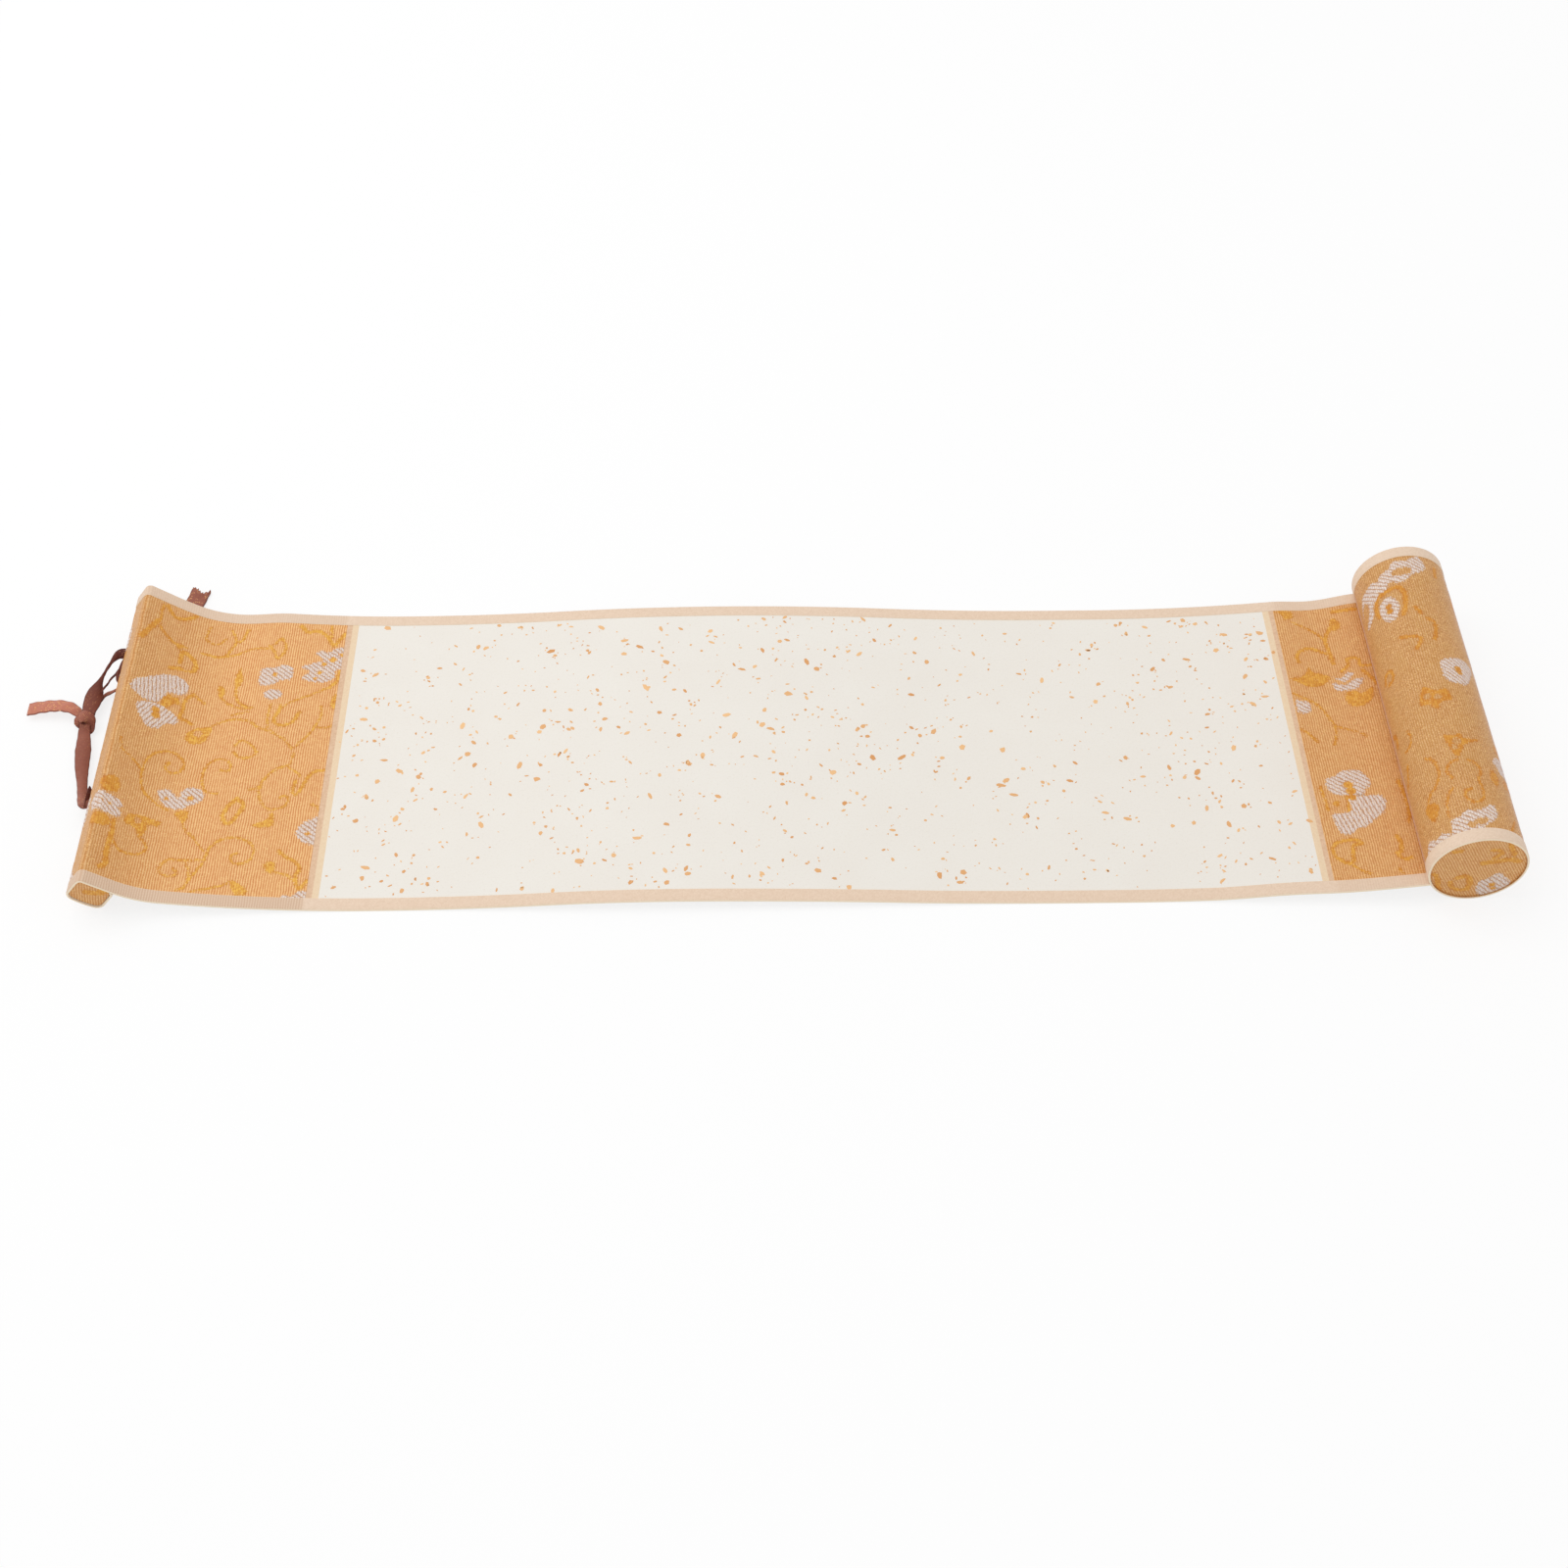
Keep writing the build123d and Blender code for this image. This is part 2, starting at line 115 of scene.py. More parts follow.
def round_stave():
    """Places and outward directions backwards round the stave, from the sheet's start."""
    left = STAVE_FACE_RADIUS - STAVE_WIDTH
    right = STAVE_FACE_RADIUS
    middle = (left + right) / 2
    bottom = -PANEL_TOP - STAVE_DEPTH
    crown_radius = ((STAVE_WIDTH / 2) ** 2 + STAVE_CROWN**2) / (2 * STAVE_CROWN)
    crown_middle = (middle, bottom + crown_radius)
    inner = crown_radius - STAVE_BACK_RADIUS
    reach = STAVE_WIDTH / 2 - STAVE_BACK_RADIUS
    lean = math.degrees(math.asin(reach / inner))
    corner_height = crown_middle[1] - inner * math.cos(math.radians(lean))
    back_radii = (STAVE_BACK_RADIUS, STAVE_BACK_RADIUS)
    fade = (STAVE_FACE_RADIUS, STAVE_LAP_FADE)
    face_radii = (STAVE_FACE_RADIUS, STAVE_FACE_RADIUS)
    return np.vstack([
        arc_rows((-STAVE_FACE, -STAVE_LAP_FADE), fade, 90, 180),
        arc_rows((middle - reach, corner_height), back_radii, 180, 270 - lean),
        arc_rows(crown_middle, (crown_radius, crown_radius), 270 - lean, 270 + lean),
        arc_rows((middle + reach, corner_height), back_radii, 270 + lean, 360),
        arc_rows((0.0, -PANEL_TOP - STAVE_FACE_RADIUS), face_radii, 360, 440),
    ])


def sheet_rows():
    """Places and upward directions along the sheet's underside, with its trough at 0."""
    x, z, heading = 0.0, 0.0, math.radians(-STAVE_SLOPE)
    rows = [(x, z, -math.sin(heading), math.cos(heading))]
    for length, turn in DOWN_BENDS + WAVE_BENDS + UP_BENDS:
        steps = round(length / PATH_STEP)
        for _ in range(steps):
            heading += math.radians(turn) / steps / 2
            x += length / steps * math.cos(heading)
            z += length / steps * math.sin(heading)
            heading += math.radians(turn) / steps / 2
            rows.append((x, z, -math.sin(heading), math.cos(heading)))
    rows = np.array(rows)
    rows[:, 1] -= rows[:, 1].min()
    return rows


def measured(places):
    """Distances along a chain of places from its first one."""
    steps = np.linalg.norm(np.diff(places, axis=0), axis=1)
    return np.concatenate([[0.0], np.cumsum(steps)])


# The base path: backwards round the stave below 0, along the sheet's underside to its
# end at the crease, and from there up over the roller.
sheet_base = sheet_rows()
roller_low, roller_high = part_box("roller_rod")
ROLLER_X = (roller_low.x + roller_high.x) / 2 / MM
crease_z = sheet_base[-1, 1]
crease_reach = math.sqrt((ROLLER_ROD_RADIUS + PANEL_TOP) ** 2 - (ROLLER_RADIUS - crease_z) ** 2)
sheet_base[:, 0] += ROLLER_X - crease_reach - sheet_base[-1, 0]
sheet_distances = measured(sheet_base[:, :2])
sheet_distances = sheet_distances * SHEET_END / sheet_distances[-1]
section = round_stave()
slope = math.radians(-STAVE_SLOPE)
turn_down = np.array([[math.cos(slope), math.sin(slope)], [-math.sin(slope), math.cos(slope)]])
leaves_stave = [np.interp(STAVE_FACE, sheet_distances, sheet_base[:, n]) for n in (0, 1)]
stave_base = np.hstack([section[:, :2] @ turn_down + leaves_stave, section[:, 2:] @ turn_down])
stave_distances = -measured(stave_base[:, :2])
STAVE_TURN = stave_distances[-1]
CREASE_ANGLE = math.degrees(math.atan2(crease_z - ROLLER_RADIUS, -crease_reach)) % 360
ROLLER_TURN = 2 * math.pi * (ROLLER_ROD_RADIUS + PANEL_TOP)


def sag(distances, across):
    """How much higher the sheet lies than its side view, at flat places."""
    raised = np.zeros_like(distances)
    for middle, reach, height, edge in SHEET_SAGS:
        off = np.clip((distances - middle) / reach, -1, 1)
        share = SAG_IN_MIDDLE + (1 - SAG_IN_MIDDLE) * edge * across / HALF_WIDTH
        raised += height * (0.5 + 0.5 * np.cos(off * math.pi)) * np.clip(share, 0, 1)
    return raised


def lay_on_sheet(distances, across, heights):
    """Side-view places at distances along the sheet or back round the stave."""
    table = np.vstack([stave_base[:0:-1], sheet_base])
    stops = np.concatenate([stave_distances[:0:-1], sheet_distances])
    x, z, sideways, up = (np.interp(distances, stops, table[:, n]) for n in range(4))
    size = np.hypot(sideways, up)
    return x + heights * sideways / size, z + heights * up / size + sag(distances, across)


def lay_on_roller(distances, across, heights):
    """Side-view places at distances round the roller's wrap, from the crease upwards."""
    angles = math.radians(CREASE_ANGLE) - distances / (ROLLER_ROD_RADIUS + PANEL_TOP)
    radius = ROLLER_ROD_RADIUS + heights
    return ROLLER_X + radius * np.cos(angles), ROLLER_RADIUS + radius * np.sin(angles)


def add_object(name, data):
    """An object in the scene."""
    made = bpy.data.objects.new(name, data)
    bpy.context.scene.collection.objects.link(made)
    return made


def add_piece(name, mesh, material, replaced=()):
    """A piece of the scroll from a mesh, riding on the one body."""
    piece = add_object(name, mesh)
    mesh.materials.append(material)
    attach(piece, "root")
    if replaced:
        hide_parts(*replaced)
    return piece


def flat_grid(columns, rows):
    """A mesh of a flat grid at given places along and across, kept in the UV map "flat"."""
    shape = bmesh.new()
    bmesh.ops.create_grid(shape, x_segments=len(columns) - 1, y_segments=len(rows) - 1, size=0.5)
    mesh = bpy.data.meshes.new("flat_grid")
    shape.to_mesh(mesh)
    shape.free()
    places = flat_places(mesh)
    along = np.rint((places[:, 0] + 0.5) * (len(columns) - 1)).astype(int)
    across = np.rint((places[:, 1] + 0.5) * (len(rows) - 1)).astype(int)
    places[:, 0] = np.array(columns)[along]
    places[:, 1] = np.array(rows)[across]
    places[:, 2] = 0.0
    move_to(mesh, places)
    keep_flat_map(mesh, places[:, :2])
    return mesh


def flat_places(mesh):
    """The vertices' places as an array."""
    places = np.empty(len(mesh.vertices) * 3, dtype=np.float32)
    mesh.vertices.foreach_get("co", places)
    return places.reshape(-1, 3).astype(float)


def move_to(mesh, places):
    """Puts the vertices at the places of an array, and shades the faces smooth."""
    mesh.vertices.foreach_set("co", places.astype(np.float32).ravel())
    mesh.polygons.foreach_set("use_smooth", [True] * len(mesh.polygons))
    mesh.update()


def keep_flat_map(mesh, flat):
    """Writes each vertex's flat place into the UV map that the patterns follow."""
    corners = np.empty(len(mesh.loops), dtype=np.int32)
    mesh.loops.foreach_get("vertex_index", corners)
    layer = mesh.uv_layers.get("flat") or mesh.uv_layers.new(name="flat")
    layer.data.foreach_set("uv", flat[corners].astype(np.float32).ravel())


def keep_values(mesh, name, values):
    """Writes one number for each vertex into an attribute that a material reads."""
    layer = mesh.attributes.new(name, "FLOAT", "POINT")
    layer.data.foreach_set("value", values.astype(np.float32))


def lay_mesh(mesh, lay, rise=0.0):
    """Bends a flat mesh along the scroll: x is the distance, y the place across, z the height."""
    places = flat_places(mesh)
    x, z = lay(places[:, 0], places[:, 1], places[:, 2] + rise)
    places[:, 0] = x
    places[:, 2] = z
    move_to(mesh, places * MM)


def crisp(piece):
    """Keeps the light from shading round a sheet's cut edges."""
    shape = bmesh.new()
    shape.from_mesh(piece.data)
    for edge in shape.edges:
        edge.smooth = not edge.is_boundary
    shape.to_mesh(piece.data)
    shape.free()
    return piece


def thicken(piece, thickness, offset=-1.0):
    """Gives a sheet its thickness, below its top face or with offset 0 to both sides."""
    wall = piece.modifiers.new("thickness", "SOLIDIFY")
    wall.thickness = thickness * MM
    wall.offset = offset
    return piece


def steps_between(start, end, step):
    """Evenly spaced places from start to end, at most a step apart."""
    return list(np.linspace(start, end, max(2, math.ceil(abs(end - start) / step) + 1)))


def linear(red, green, blue):
    """A colour as the shaders hold it, from the numbers of a colour chart."""
    shares = (red / 255, green / 255, blue / 255)
    return (*(((share + 0.055) / 1.055) ** 2.4 for share in shares), 1.0)


# The woven pattern, in flat millimetres: the distance along the scroll and the place
# across it, counted from the front edge. Pale yarn fills the petals, hatched across a
# given angle, and gold yarn the leaves and the vines, which are lines of a given width.
# A bud is a round gold spot, and a gap a round spot of bare ground.
HEAD_PETALS = [
    (10, [(0.5, 77), (2, 80.5), (7, 84.2), (12, 87.2), (16.5, 87), (18.5, 84), (17, 80.6), (12.8, 80),
          (11.3, 77.2), (9.3, 74.3), (5.5, 74), (2.2, 75.2)]),
    (-27, [(3.5, 70.5), (5.5, 72.8), (9.5, 73.9), (13.8, 73), (17, 70.8), (17, 68.4), (13.8, 67.4),
          (11.8, 64.6), (8, 64.1), (5.8, 66.3)]),
    (50, [(39.6, 92), (40.2, 95.3), (44, 95.6), (46.8, 97), (49.6, 95.6), (50, 91.2), (46.5, 90.4),
          (43.7, 88.3), (40.2, 88.3)]),
    (50, [(42, 84.8), (44, 86.2), (46.6, 85.9), (47.7, 84), (45.6, 81.9), (43, 82.4)]),
    (50, [(52.5, 96.6), (56, 98.3), (58.8, 99.8), (56.4, 102.4), (57.8, 104), (60.4, 103.2), (62.2, 105),
          (66, 105), (66, 97), (63.6, 95.6), (63, 92.4), (60.4, 90.2), (56, 90.4), (52.9, 91.8),
          (55.2, 94.4)]),
    (50, [(16, 40.4), (17.6, 42), (20, 41.8), (22.2, 39.4), (23.2, 42.8), (26, 44.2), (29.3, 42.6),
          (29.2, 39.4), (26, 36.8), (22.2, 34.9), (18.4, 36.4)]),
    (50, [(59, 29), (60.6, 32.4), (63.4, 34.2), (66, 34.6), (66, 24.9), (62.6, 24.7), (60, 26.6)]),
    (50, [(57, 3.5), (58.5, 5.2), (60.5, 4.8), (63, 6.8), (66, 6.4), (66, 3)]),
    (50, [(-4.5, 31), (-2.5, 33.6), (0.4, 34), (5, 32.8), (6.9, 31), (5.2, 30.2), (6.6, 28.6), (5.6, 26.7),
          (1.5, 26.9), (-2.6, 27.5), (-3, 29.4)]),
]
HEAD_BUDS = [
    (9.9, 71.2, 1.5), (10.3, 69.4, 1.5), (44.3, 92.7, 0.9), (59.5, 98, 1.0), (62, 100.1, 1.2),
    (58.5, 94.3, 0.9), (57.2, 91.7, 0.7), (64.6, 102.3, 0.9), (19, 38.7, 0.7), (25.9, 39.9, 1.1),
    (62.7, 28.4, 0.8), (17.2, 52.3, 0.8), (13, 100, 1.3), (3, 30.4, 0.6), (0.5, 30.8, 0.5),
]
HEAD_LEAVES = [
    [(11.5, 79.5), (14, 78.8), (16, 79), (17, 76.5), (15, 75.8), (13, 73.3), (11.5, 73.3), (11, 75.8)],
    [(20.3, 65), (21, 62.5), (23.5, 61.5), (26.5, 63), (27.5, 66), (28, 69.5), (25, 69), (22, 67.5)],
    [(33, 95.5), (34.5, 90.5), (33.6, 87.2), (32, 88), (31.8, 91.5)],
    [(27, 87), (29.4, 86), (29.2, 82.6), (28, 82)],
    [(63.2, 80.5), (64.2, 85), (65.4, 84), (65.4, 78.6)],
    [(45.5, 31), (48, 30), (51.8, 30.8), (52, 33), (51, 36.8), (49.5, 33.5), (47.5, 32.2)],
    [(22.3, 34), (26, 35), (26.3, 32), (25.3, 29.5), (23.5, 31.5)],
    [(7.8, 27), (9, 29.5), (13, 30.3), (16, 30), (19, 29.3), (18, 27.5), (15.5, 27.5), (15, 24.5),
     (13.5, 22.3), (11.5, 25), (9, 25.5)],
    [(51, 16), (52.5, 13.5), (54.5, 13), (54.5, 17), (52.5, 17.5)],
    [(0, 35), (2, 34.6), (4.4, 35.6), (4.6, 38.5), (3, 41), (0.5, 40.4), (-1.4, 38)],
    [(-2, 22.5), (0.5, 21.5), (3.5, 22.5), (4, 25), (1.5, 26.3), (-1, 25.6)],
    [(42, 9.8), (45, 8.8), (47.2, 7), (47.4, 5), (44, 4.6)],
]
HEAD_GAPS = [(24, 66, 1.2), (12, 28, 1.0), (16.5, 92.5, 1.3)]
HEAD_VINES = [
    (1.5, [(6.5, 114.5), (9, 111.5), (11.5, 111.4), (14, 112.8), (16, 115)]),
    (1.1, [(5, 114), (5, 109), (5.5, 105), (8, 102.5), (11, 100.5), (15, 100.3)]),
    (2.0, [(4.5, 107), (2.4, 102.5), (0.5, 98)]),
    (1.7, [(11.5, 90), (14, 90.8), (18.6, 91.8), (18.5, 95.5), (14.5, 98.3), (14, 93.5)]),
    (1.3, [(20.3, 82), (18.6, 80), (18, 77), (18, 74), (17.5, 71.3), (20, 70.5), (21.5, 69.5)]),
    (1.0, [(20.5, 82), (22, 80.5), (24, 79)]),
    (0.9, [(27.5, 69.6), (30, 71.5), (33, 73), (38, 73), (41, 71), (43, 69.5), (46, 69)]),
    (0.8, [(33, 75), (38, 76.5)]),
    (0.8, [(21, 112), (20.4, 109), (20.6, 106.2), (24, 105), (26.5, 108)]),
    (1.1, [(28, 112), (29.8, 107), (28.3, 103), (26.5, 99.8), (20, 100)]),
    (1.1, [(33, 113), (31.5, 108), (29.8, 107)]),
    (0.9, [(26, 100), (30, 101), (34, 103.5), (38, 104.3), (41, 104)]),
    (1.1, [(41, 105.5), (43, 102.5), (44.5, 99.8), (46.5, 104), (44.5, 108.5), (42.6, 106)]),
    (1.6, [(50.3, 114.5), (52.5, 112), (56, 112.5), (59, 110.5), (61.5, 106.5), (63.5, 109.5), (65, 112)]),
    (1.2, [(60, 115), (60.5, 110)]),
    (1.1, [(32.8, 88), (33, 84), (34.5, 80.5), (38, 78)]),
    (0.9, [(28, 83), (29.5, 81.5), (31, 80), (35, 78), (39, 78.3)]),
    (0.8, [(62, 88), (58, 85.5), (54, 83), (50, 80.5), (47.5, 77)]),
    (1.3, [(47.9, 79.5), (47.5, 77), (46.5, 73.5), (48, 71.5), (51, 71.8), (53, 74), (54, 77)]),
    (0.8, [(44.8, 80), (44.5, 76), (45, 70), (47, 68), (51, 65.5), (53.5, 62), (55, 63.5),
           (57.5, 67), (59.5, 71), (61, 76), (60.5, 80)]),
    (1.4, [(62.2, 88), (64.3, 91), (64.8, 95)]),
    (0.7, [(60, 71), (63, 71), (65, 72)]),
    (1.0, [(36, 62), (37.5, 64.5), (40, 63.5), (43, 60), (41, 57.5), (38, 57.5), (36, 59.5)]),
    (0.8, [(1.5, 56), (2.5, 52), (5, 50.5), (8, 48.5), (10, 47)]),
    (1.0, [(15.5, 36.5), (12, 39), (10.5, 42.5), (10, 47), (11, 52), (13.5, 55.5), (17.5, 57),
           (20.5, 55.5), (22, 52.5), (21, 49.8), (18.5, 48.8), (16.8, 50.2), (17, 52.5)]),
    (0.8, [(15.5, 36.5), (18, 35), (20, 34.5)]),
    (0.9, [(33.5, 42.5), (30, 43), (28.5, 46), (28, 50), (28.8, 53.5), (31, 56), (34, 56.3),
           (35.8, 54.5), (35.5, 52), (33, 52)]),
    (0.9, [(43, 44.8), (46, 45.5), (46.3, 48), (49, 52.5), (52.5, 54.5), (55.5, 53), (57.5, 51)]),
    (0.9, [(45.5, 46), (46, 44), (47, 40.5), (48.8, 37.8), (51, 37.3), (54, 38.5), (55.3, 41),
           (54, 43), (52.5, 42)]),
    (0.8, [(54.5, 60), (54, 56.5), (52.8, 54.5)]),
    (1.5, [(39.8, 41), (42, 38.5), (41, 35), (39.5, 32), (38, 31), (36.5, 34), (37.5, 37.5), (39.8, 41)]),
    (1.2, [(56.5, 49), (56, 45), (57, 43.5), (58.5, 46), (60, 50.5), (62, 53), (65, 53.5)]),
    (0.9, [(62.5, 40), (64, 39), (65, 37.5)]),
    (0.8, [(25.5, 29), (27, 26.5), (29.5, 24.5), (31.5, 21.5), (33.3, 19.5)]),
    (0.9, [(13.5, 22.3), (15.5, 20.5), (16.2, 18.5), (14.5, 16.2), (11.5, 15.3), (8.5, 15.5), (6, 18)]),
    (1.8, [(5, 25), (5.3, 20), (5, 16), (5, 12), (5.5, 9), (4, 7.5)]),
    (0.9, [(33.8, 16.8), (26.5, 16), (23.5, 16), (21.5, 14), (21.2, 11.5), (23, 10), (25.5, 10),
           (26.2, 11.5), (25, 12.8)]),
    (0.9, [(28.5, 15.5), (29.8, 12), (30, 8.5), (29, 6), (27.5, 5)]),
    (0.9, [(30, 8.5), (31.5, 11.5), (33, 15), (33.8, 18.5), (34.5, 21.5), (37, 24.5), (41, 25.8),
           (45, 24.8), (47, 22.5), (47.5, 19.5), (46, 17), (43, 16), (41.2, 17.5), (41.5, 19.5), (43, 20)]),
    (0.8, [(31, 4.5), (35, 6), (39.5, 7.5), (42, 9)]),
    (1.3, [(55, 21.5), (57, 19.5), (60.5, 17.5), (61.8, 15), (61, 12), (62, 8.5), (63, 7.8), (64.5, 10.5)]),
    (1.0, [(55, 13.5), (58, 12.8), (61, 10.5)]),
]
TAIL_PETALS = [
    (50, [(385, 85.3), (387, 84.2), (390, 86.2), (391.8, 85.5), (390, 83.6), (388, 82.6)]),
    (50, [(384.5, 82.5), (385.5, 79.3), (388, 78.8), (391, 79), (394.3, 82), (393, 83.3), (390.5, 82.5),
          (388, 81), (386, 82.3)]),
    (50, [(371.8, 77), (373, 75.5), (375, 75.5), (376, 73), (375.5, 71), (373, 70.5), (371.5, 72)]),
    (50, [(374.8, 41), (375.5, 43.2), (378.5, 44), (380, 45.8), (383, 46), (386, 45.3), (388.5, 40.5),
          (386.5, 38), (385, 35.8), (380, 36.5), (377.5, 36.8), (375.5, 38.5)]),
    (15, [(381, 35), (385, 35.5), (390, 35.3), (391.5, 33), (390.5, 29), (387, 26), (384, 23.8), (381, 23),
          (379.5, 21.4), (376.5, 21.5), (375, 25), (374.8, 29), (378, 29.5), (380.5, 30), (380.8, 33)]),
]
TAIL_BUDS = [(381.5, 40.2, 1.6), (382, 37.9, 1.6), (376.7, 33.2, 1.2), (382, 35.2, 1.3)]
TAIL_LEAVES = [
    [(370.8, 115.5), (373, 114), (374, 111.5), (376.8, 112.5), (376.5, 115.5)],
    [(371.5, 85.5), (376, 86.5), (378, 90), (379.5, 88), (382, 87), (384.5, 85), (381.5, 82),
     (377, 81.5), (374, 83.5)],
    [(387.5, 77.5), (387.5, 74), (389, 71.8), (392, 71.5), (395, 73.5), (396.5, 77), (396, 79),
     (393, 77), (390.5, 78.3)],
    [(389, 110.8), (391.4, 108), (390.8, 105.4), (387.5, 105.5)],
]
TAIL_GAPS = [(375.8, 15, 0.9)]
TAIL_VINES = [
    (0.9, [(376, 110.5), (379, 108.5), (381.5, 106.5), (384, 104), (386, 99)]),
    (1.5, [(389.5, 110), (388, 106.5), (386, 103), (385.5, 100), (386, 95), (386.3, 91)]),
    (1.6, [(390, 113.4), (397, 113)]),
    (1.4, [(375.5, 92.5), (375.2, 95), (377.5, 97.8), (380.5, 98.3), (383.5, 96.5), (385, 95.5)]),
    (1.3, [(388, 87), (390.5, 89), (391, 92), (394, 91.5), (394.5, 88.5), (398, 88)]),
    (1.4, [(398, 80), (396, 84), (394.4, 86.4)]),
    (0.9, [(371.5, 79), (373.5, 77.5), (377, 75), (379.5, 71.5), (381, 67.5), (382, 64.5),
           (381.5, 60), (380.5, 57)]),
    (0.8, [(382, 64.5), (385, 63), (388.5, 61), (391, 59)]),
    (1.0, [(371, 64), (373, 62.4), (374.2, 60.4), (375.5, 58.5)]),
    (1.1, [(373, 40), (373.5, 36), (373.8, 31)]),
    (1.1, [(380.5, 36), (380, 30)]),
    (1.4, [(372.3, 16), (374.5, 18.5), (379.5, 19), (381.5, 17.5), (379, 17), (378.3, 14.5),
           (377.8, 11), (376, 10.5), (373, 13), (372.3, 16)]),
    (1.0, [(377, 10), (379.5, 7.5), (382, 6)]),
    (1.5, [(392, 19), (392.8, 16), (392, 13), (391, 12.5), (392.5, 10.3), (395, 10.5)]),
    (1.0, [(391, 5), (390.5, 7)]),
    (1.2, [(396.6, 24), (397.6, 30), (396.6, 40)]),
]
ROLLER_PETALS = [
    (50, [(8, 100), (10, 107), (13, 108.5), (17, 109.5), (18.5, 106), (17.5, 103), (15, 101), (14, 97),
          (11, 95), (9, 95.5), (12, 99), (13, 103), (10.5, 105)]),
    (50, [(17.4, 105.6), (20, 103.3), (22.5, 106.2), (24.5, 104.8), (27, 105), (29.5, 107), (34.8, 110.5),
          (33, 115.5), (29, 113.5), (25, 114), (23, 111.5), (20, 110.5)]),
    (50, [(16.6, 95.5), (17.6, 99), (20, 100.7), (22.4, 99), (23.4, 95.5), (22.4, 92), (20, 90.3),
          (17.6, 92)]),
    (50, [(30.5, 67), (30.8, 69.8), (33.5, 71), (37, 72), (40, 72), (43, 70), (41, 66), (38.5, 62),
          (36, 60.8), (32, 61.2), (30.5, 63.5)]),
    (50, [(20.5, 5), (21, 9), (24, 10), (26, 11.5), (30, 11), (33.5, 13.2), (34.8, 11), (34, 8), (31, 5.8),
          (28, 3), (22, 2.5)]),
    (50, [(10, 5.5), (12, 7.3), (15, 6), (17.5, 6.8), (19.8, 4.3), (14, 3), (10, 3.5)]),
]
ROLLER_BUDS = [(20, 94.4, 1.2), (20, 96.6, 1.2), (36, 67, 1.4), (36.2, 65.6, 1.0)]
ROLLER_LEAVES = [
    [(21.5, 56), (22.5, 59), (24, 60.5), (27, 58), (30, 58.5), (31, 54), (27.5, 53), (26, 50.5),
     (24, 53), (21.7, 53.5)],
    [(25.3, 40.5), (25.7, 37), (26.5, 33.5), (28, 31.5), (31, 36), (36.5, 38.3), (31, 38.5),
     (30.5, 40.5), (28, 39.8)],
    [(15, 19), (18, 17.5), (18.5, 15), (16, 12), (14.5, 14), (13.5, 17)],
    [(36.5, 26), (37.5, 27.5), (39.5, 25.5), (39, 22.5), (37.5, 21), (36.2, 23)],
]
ROLLER_GAPS = [
    (25, 109.2, 1.5), (28.2, 109.2, 1.7), (26.4, 109.2, 1.7), (24, 56.4, 1.1), (27, 55.4, 1.0),
    (28.6, 37.4, 1.3), (27.6, 35.2, 0.9), (26.4, 5.9, 1.3), (29, 6.8, 1.4), (30.6, 7.4, 0.9),
]
ROLLER_VINES = [
    (1.7, [(16, 95), (15.5, 98), (17, 102), (20, 102.8), (24.5, 103), (25.8, 99.5), (25.2, 94.5),
           (24, 91.5)]),
    (1.4, [(28, 93), (29, 90.5)]),
    (1.3, [(30.5, 88), (32.5, 86), (32, 82), (31, 79)]),
    (1.3, [(21, 82.5), (24, 81.5), (27, 80), (25, 76)]),
    (1.0, [(18.5, 34.5), (20.5, 32.5), (21.3, 29), (21, 26), (19.5, 23.5), (17, 21.5), (15.5, 19.5)]),
    (1.0, [(30.5, 29.8), (32.5, 28.5), (33.3, 25.5), (32, 22.5), (32.3, 19), (32, 16), (30.5, 14.3),
           (28.5, 14.2), (27, 16), (27.3, 18.5), (29, 19)]),
    (0.9, [(24, 20.5), (22, 18), (21, 14.5), (20.8, 11)]),
    (1.0, [(38, 4), (40, 7), (42, 10)]),
    (1.2, [(7, 30), (9.5, 33), (11, 37)]),
    (1.3, [(11, 70), (12, 72.6), (14, 73), (15.4, 71), (14.4, 69), (12.4, 68.6)]),
    (1.5, [(6.4, 52), (8, 51), (9, 49), (8.2, 47)]),
    (0.9, [(14.6, 48), (15.6, 45.6), (15, 43), (13, 41.6), (11.4, 42)]),
    (0.9, [(24.6, 24), (23.6, 27), (25, 29.6), (27.4, 30.4)]),
    (1.6, [(38, 108), (39, 112)]),
]
DISC_PETALS = [
    (50, [(1.5, -8), (2, -6), (4, -4.6), (5.5, -2.6), (7.2, -2.4), (8.6, -4.2), (10.6, -6), (11.2, -8.5),
          (10, -11), (8, -13), (3.6, -13.5), (2, -11)]),
]
DISC_BUDS = [(5.8, -8, 1.1), (6.7, -9.8, 0.8)]
DISC_VINES = [
    (1.6, [(-9.2, 8), (-7.4, 8.3)]),
    (1.4, [(6.3, 12), (7, 10), (8, 8), (8.8, 6.6)]),
    (1.4, [(2, 8.6), (4, 8.4), (4.9, 7.2), (4, 5.6), (3.2, 4.8)]),
    (1.9, [(0.6, 2.5), (3, 3), (6, 3.7), (8, 4.2), (11, 3.2)]),
    (1.3, [(-12.5, -2.5), (-11, -5), (-10, -8), (-9, -10.5)]),
    (1.8, [(-5.2, -4.6), (-3, -3.8), (-1.5, -5.2), (-0.8, -7.5), (-1, -10)]),
    (1.2, [(-6.8, -6.5), (-6, -8.6), (-4.4, -10), (-2.4, -10.6)]),
]
STAVE_END_VINES = [
    (1.6, [(-1.4, 6.6), (0.6, 6.2)]),
    (2.2, [(-0.6, 1), (2.6, 0.4), (5.4, 1.2)]),
    (1.6, [(3.6, 1.4), (5.6, 1.6)]),
]
HEAD_PATTERN = (HEAD_PETALS, HEAD_BUDS, HEAD_LEAVES, HEAD_GAPS, HEAD_VINES)
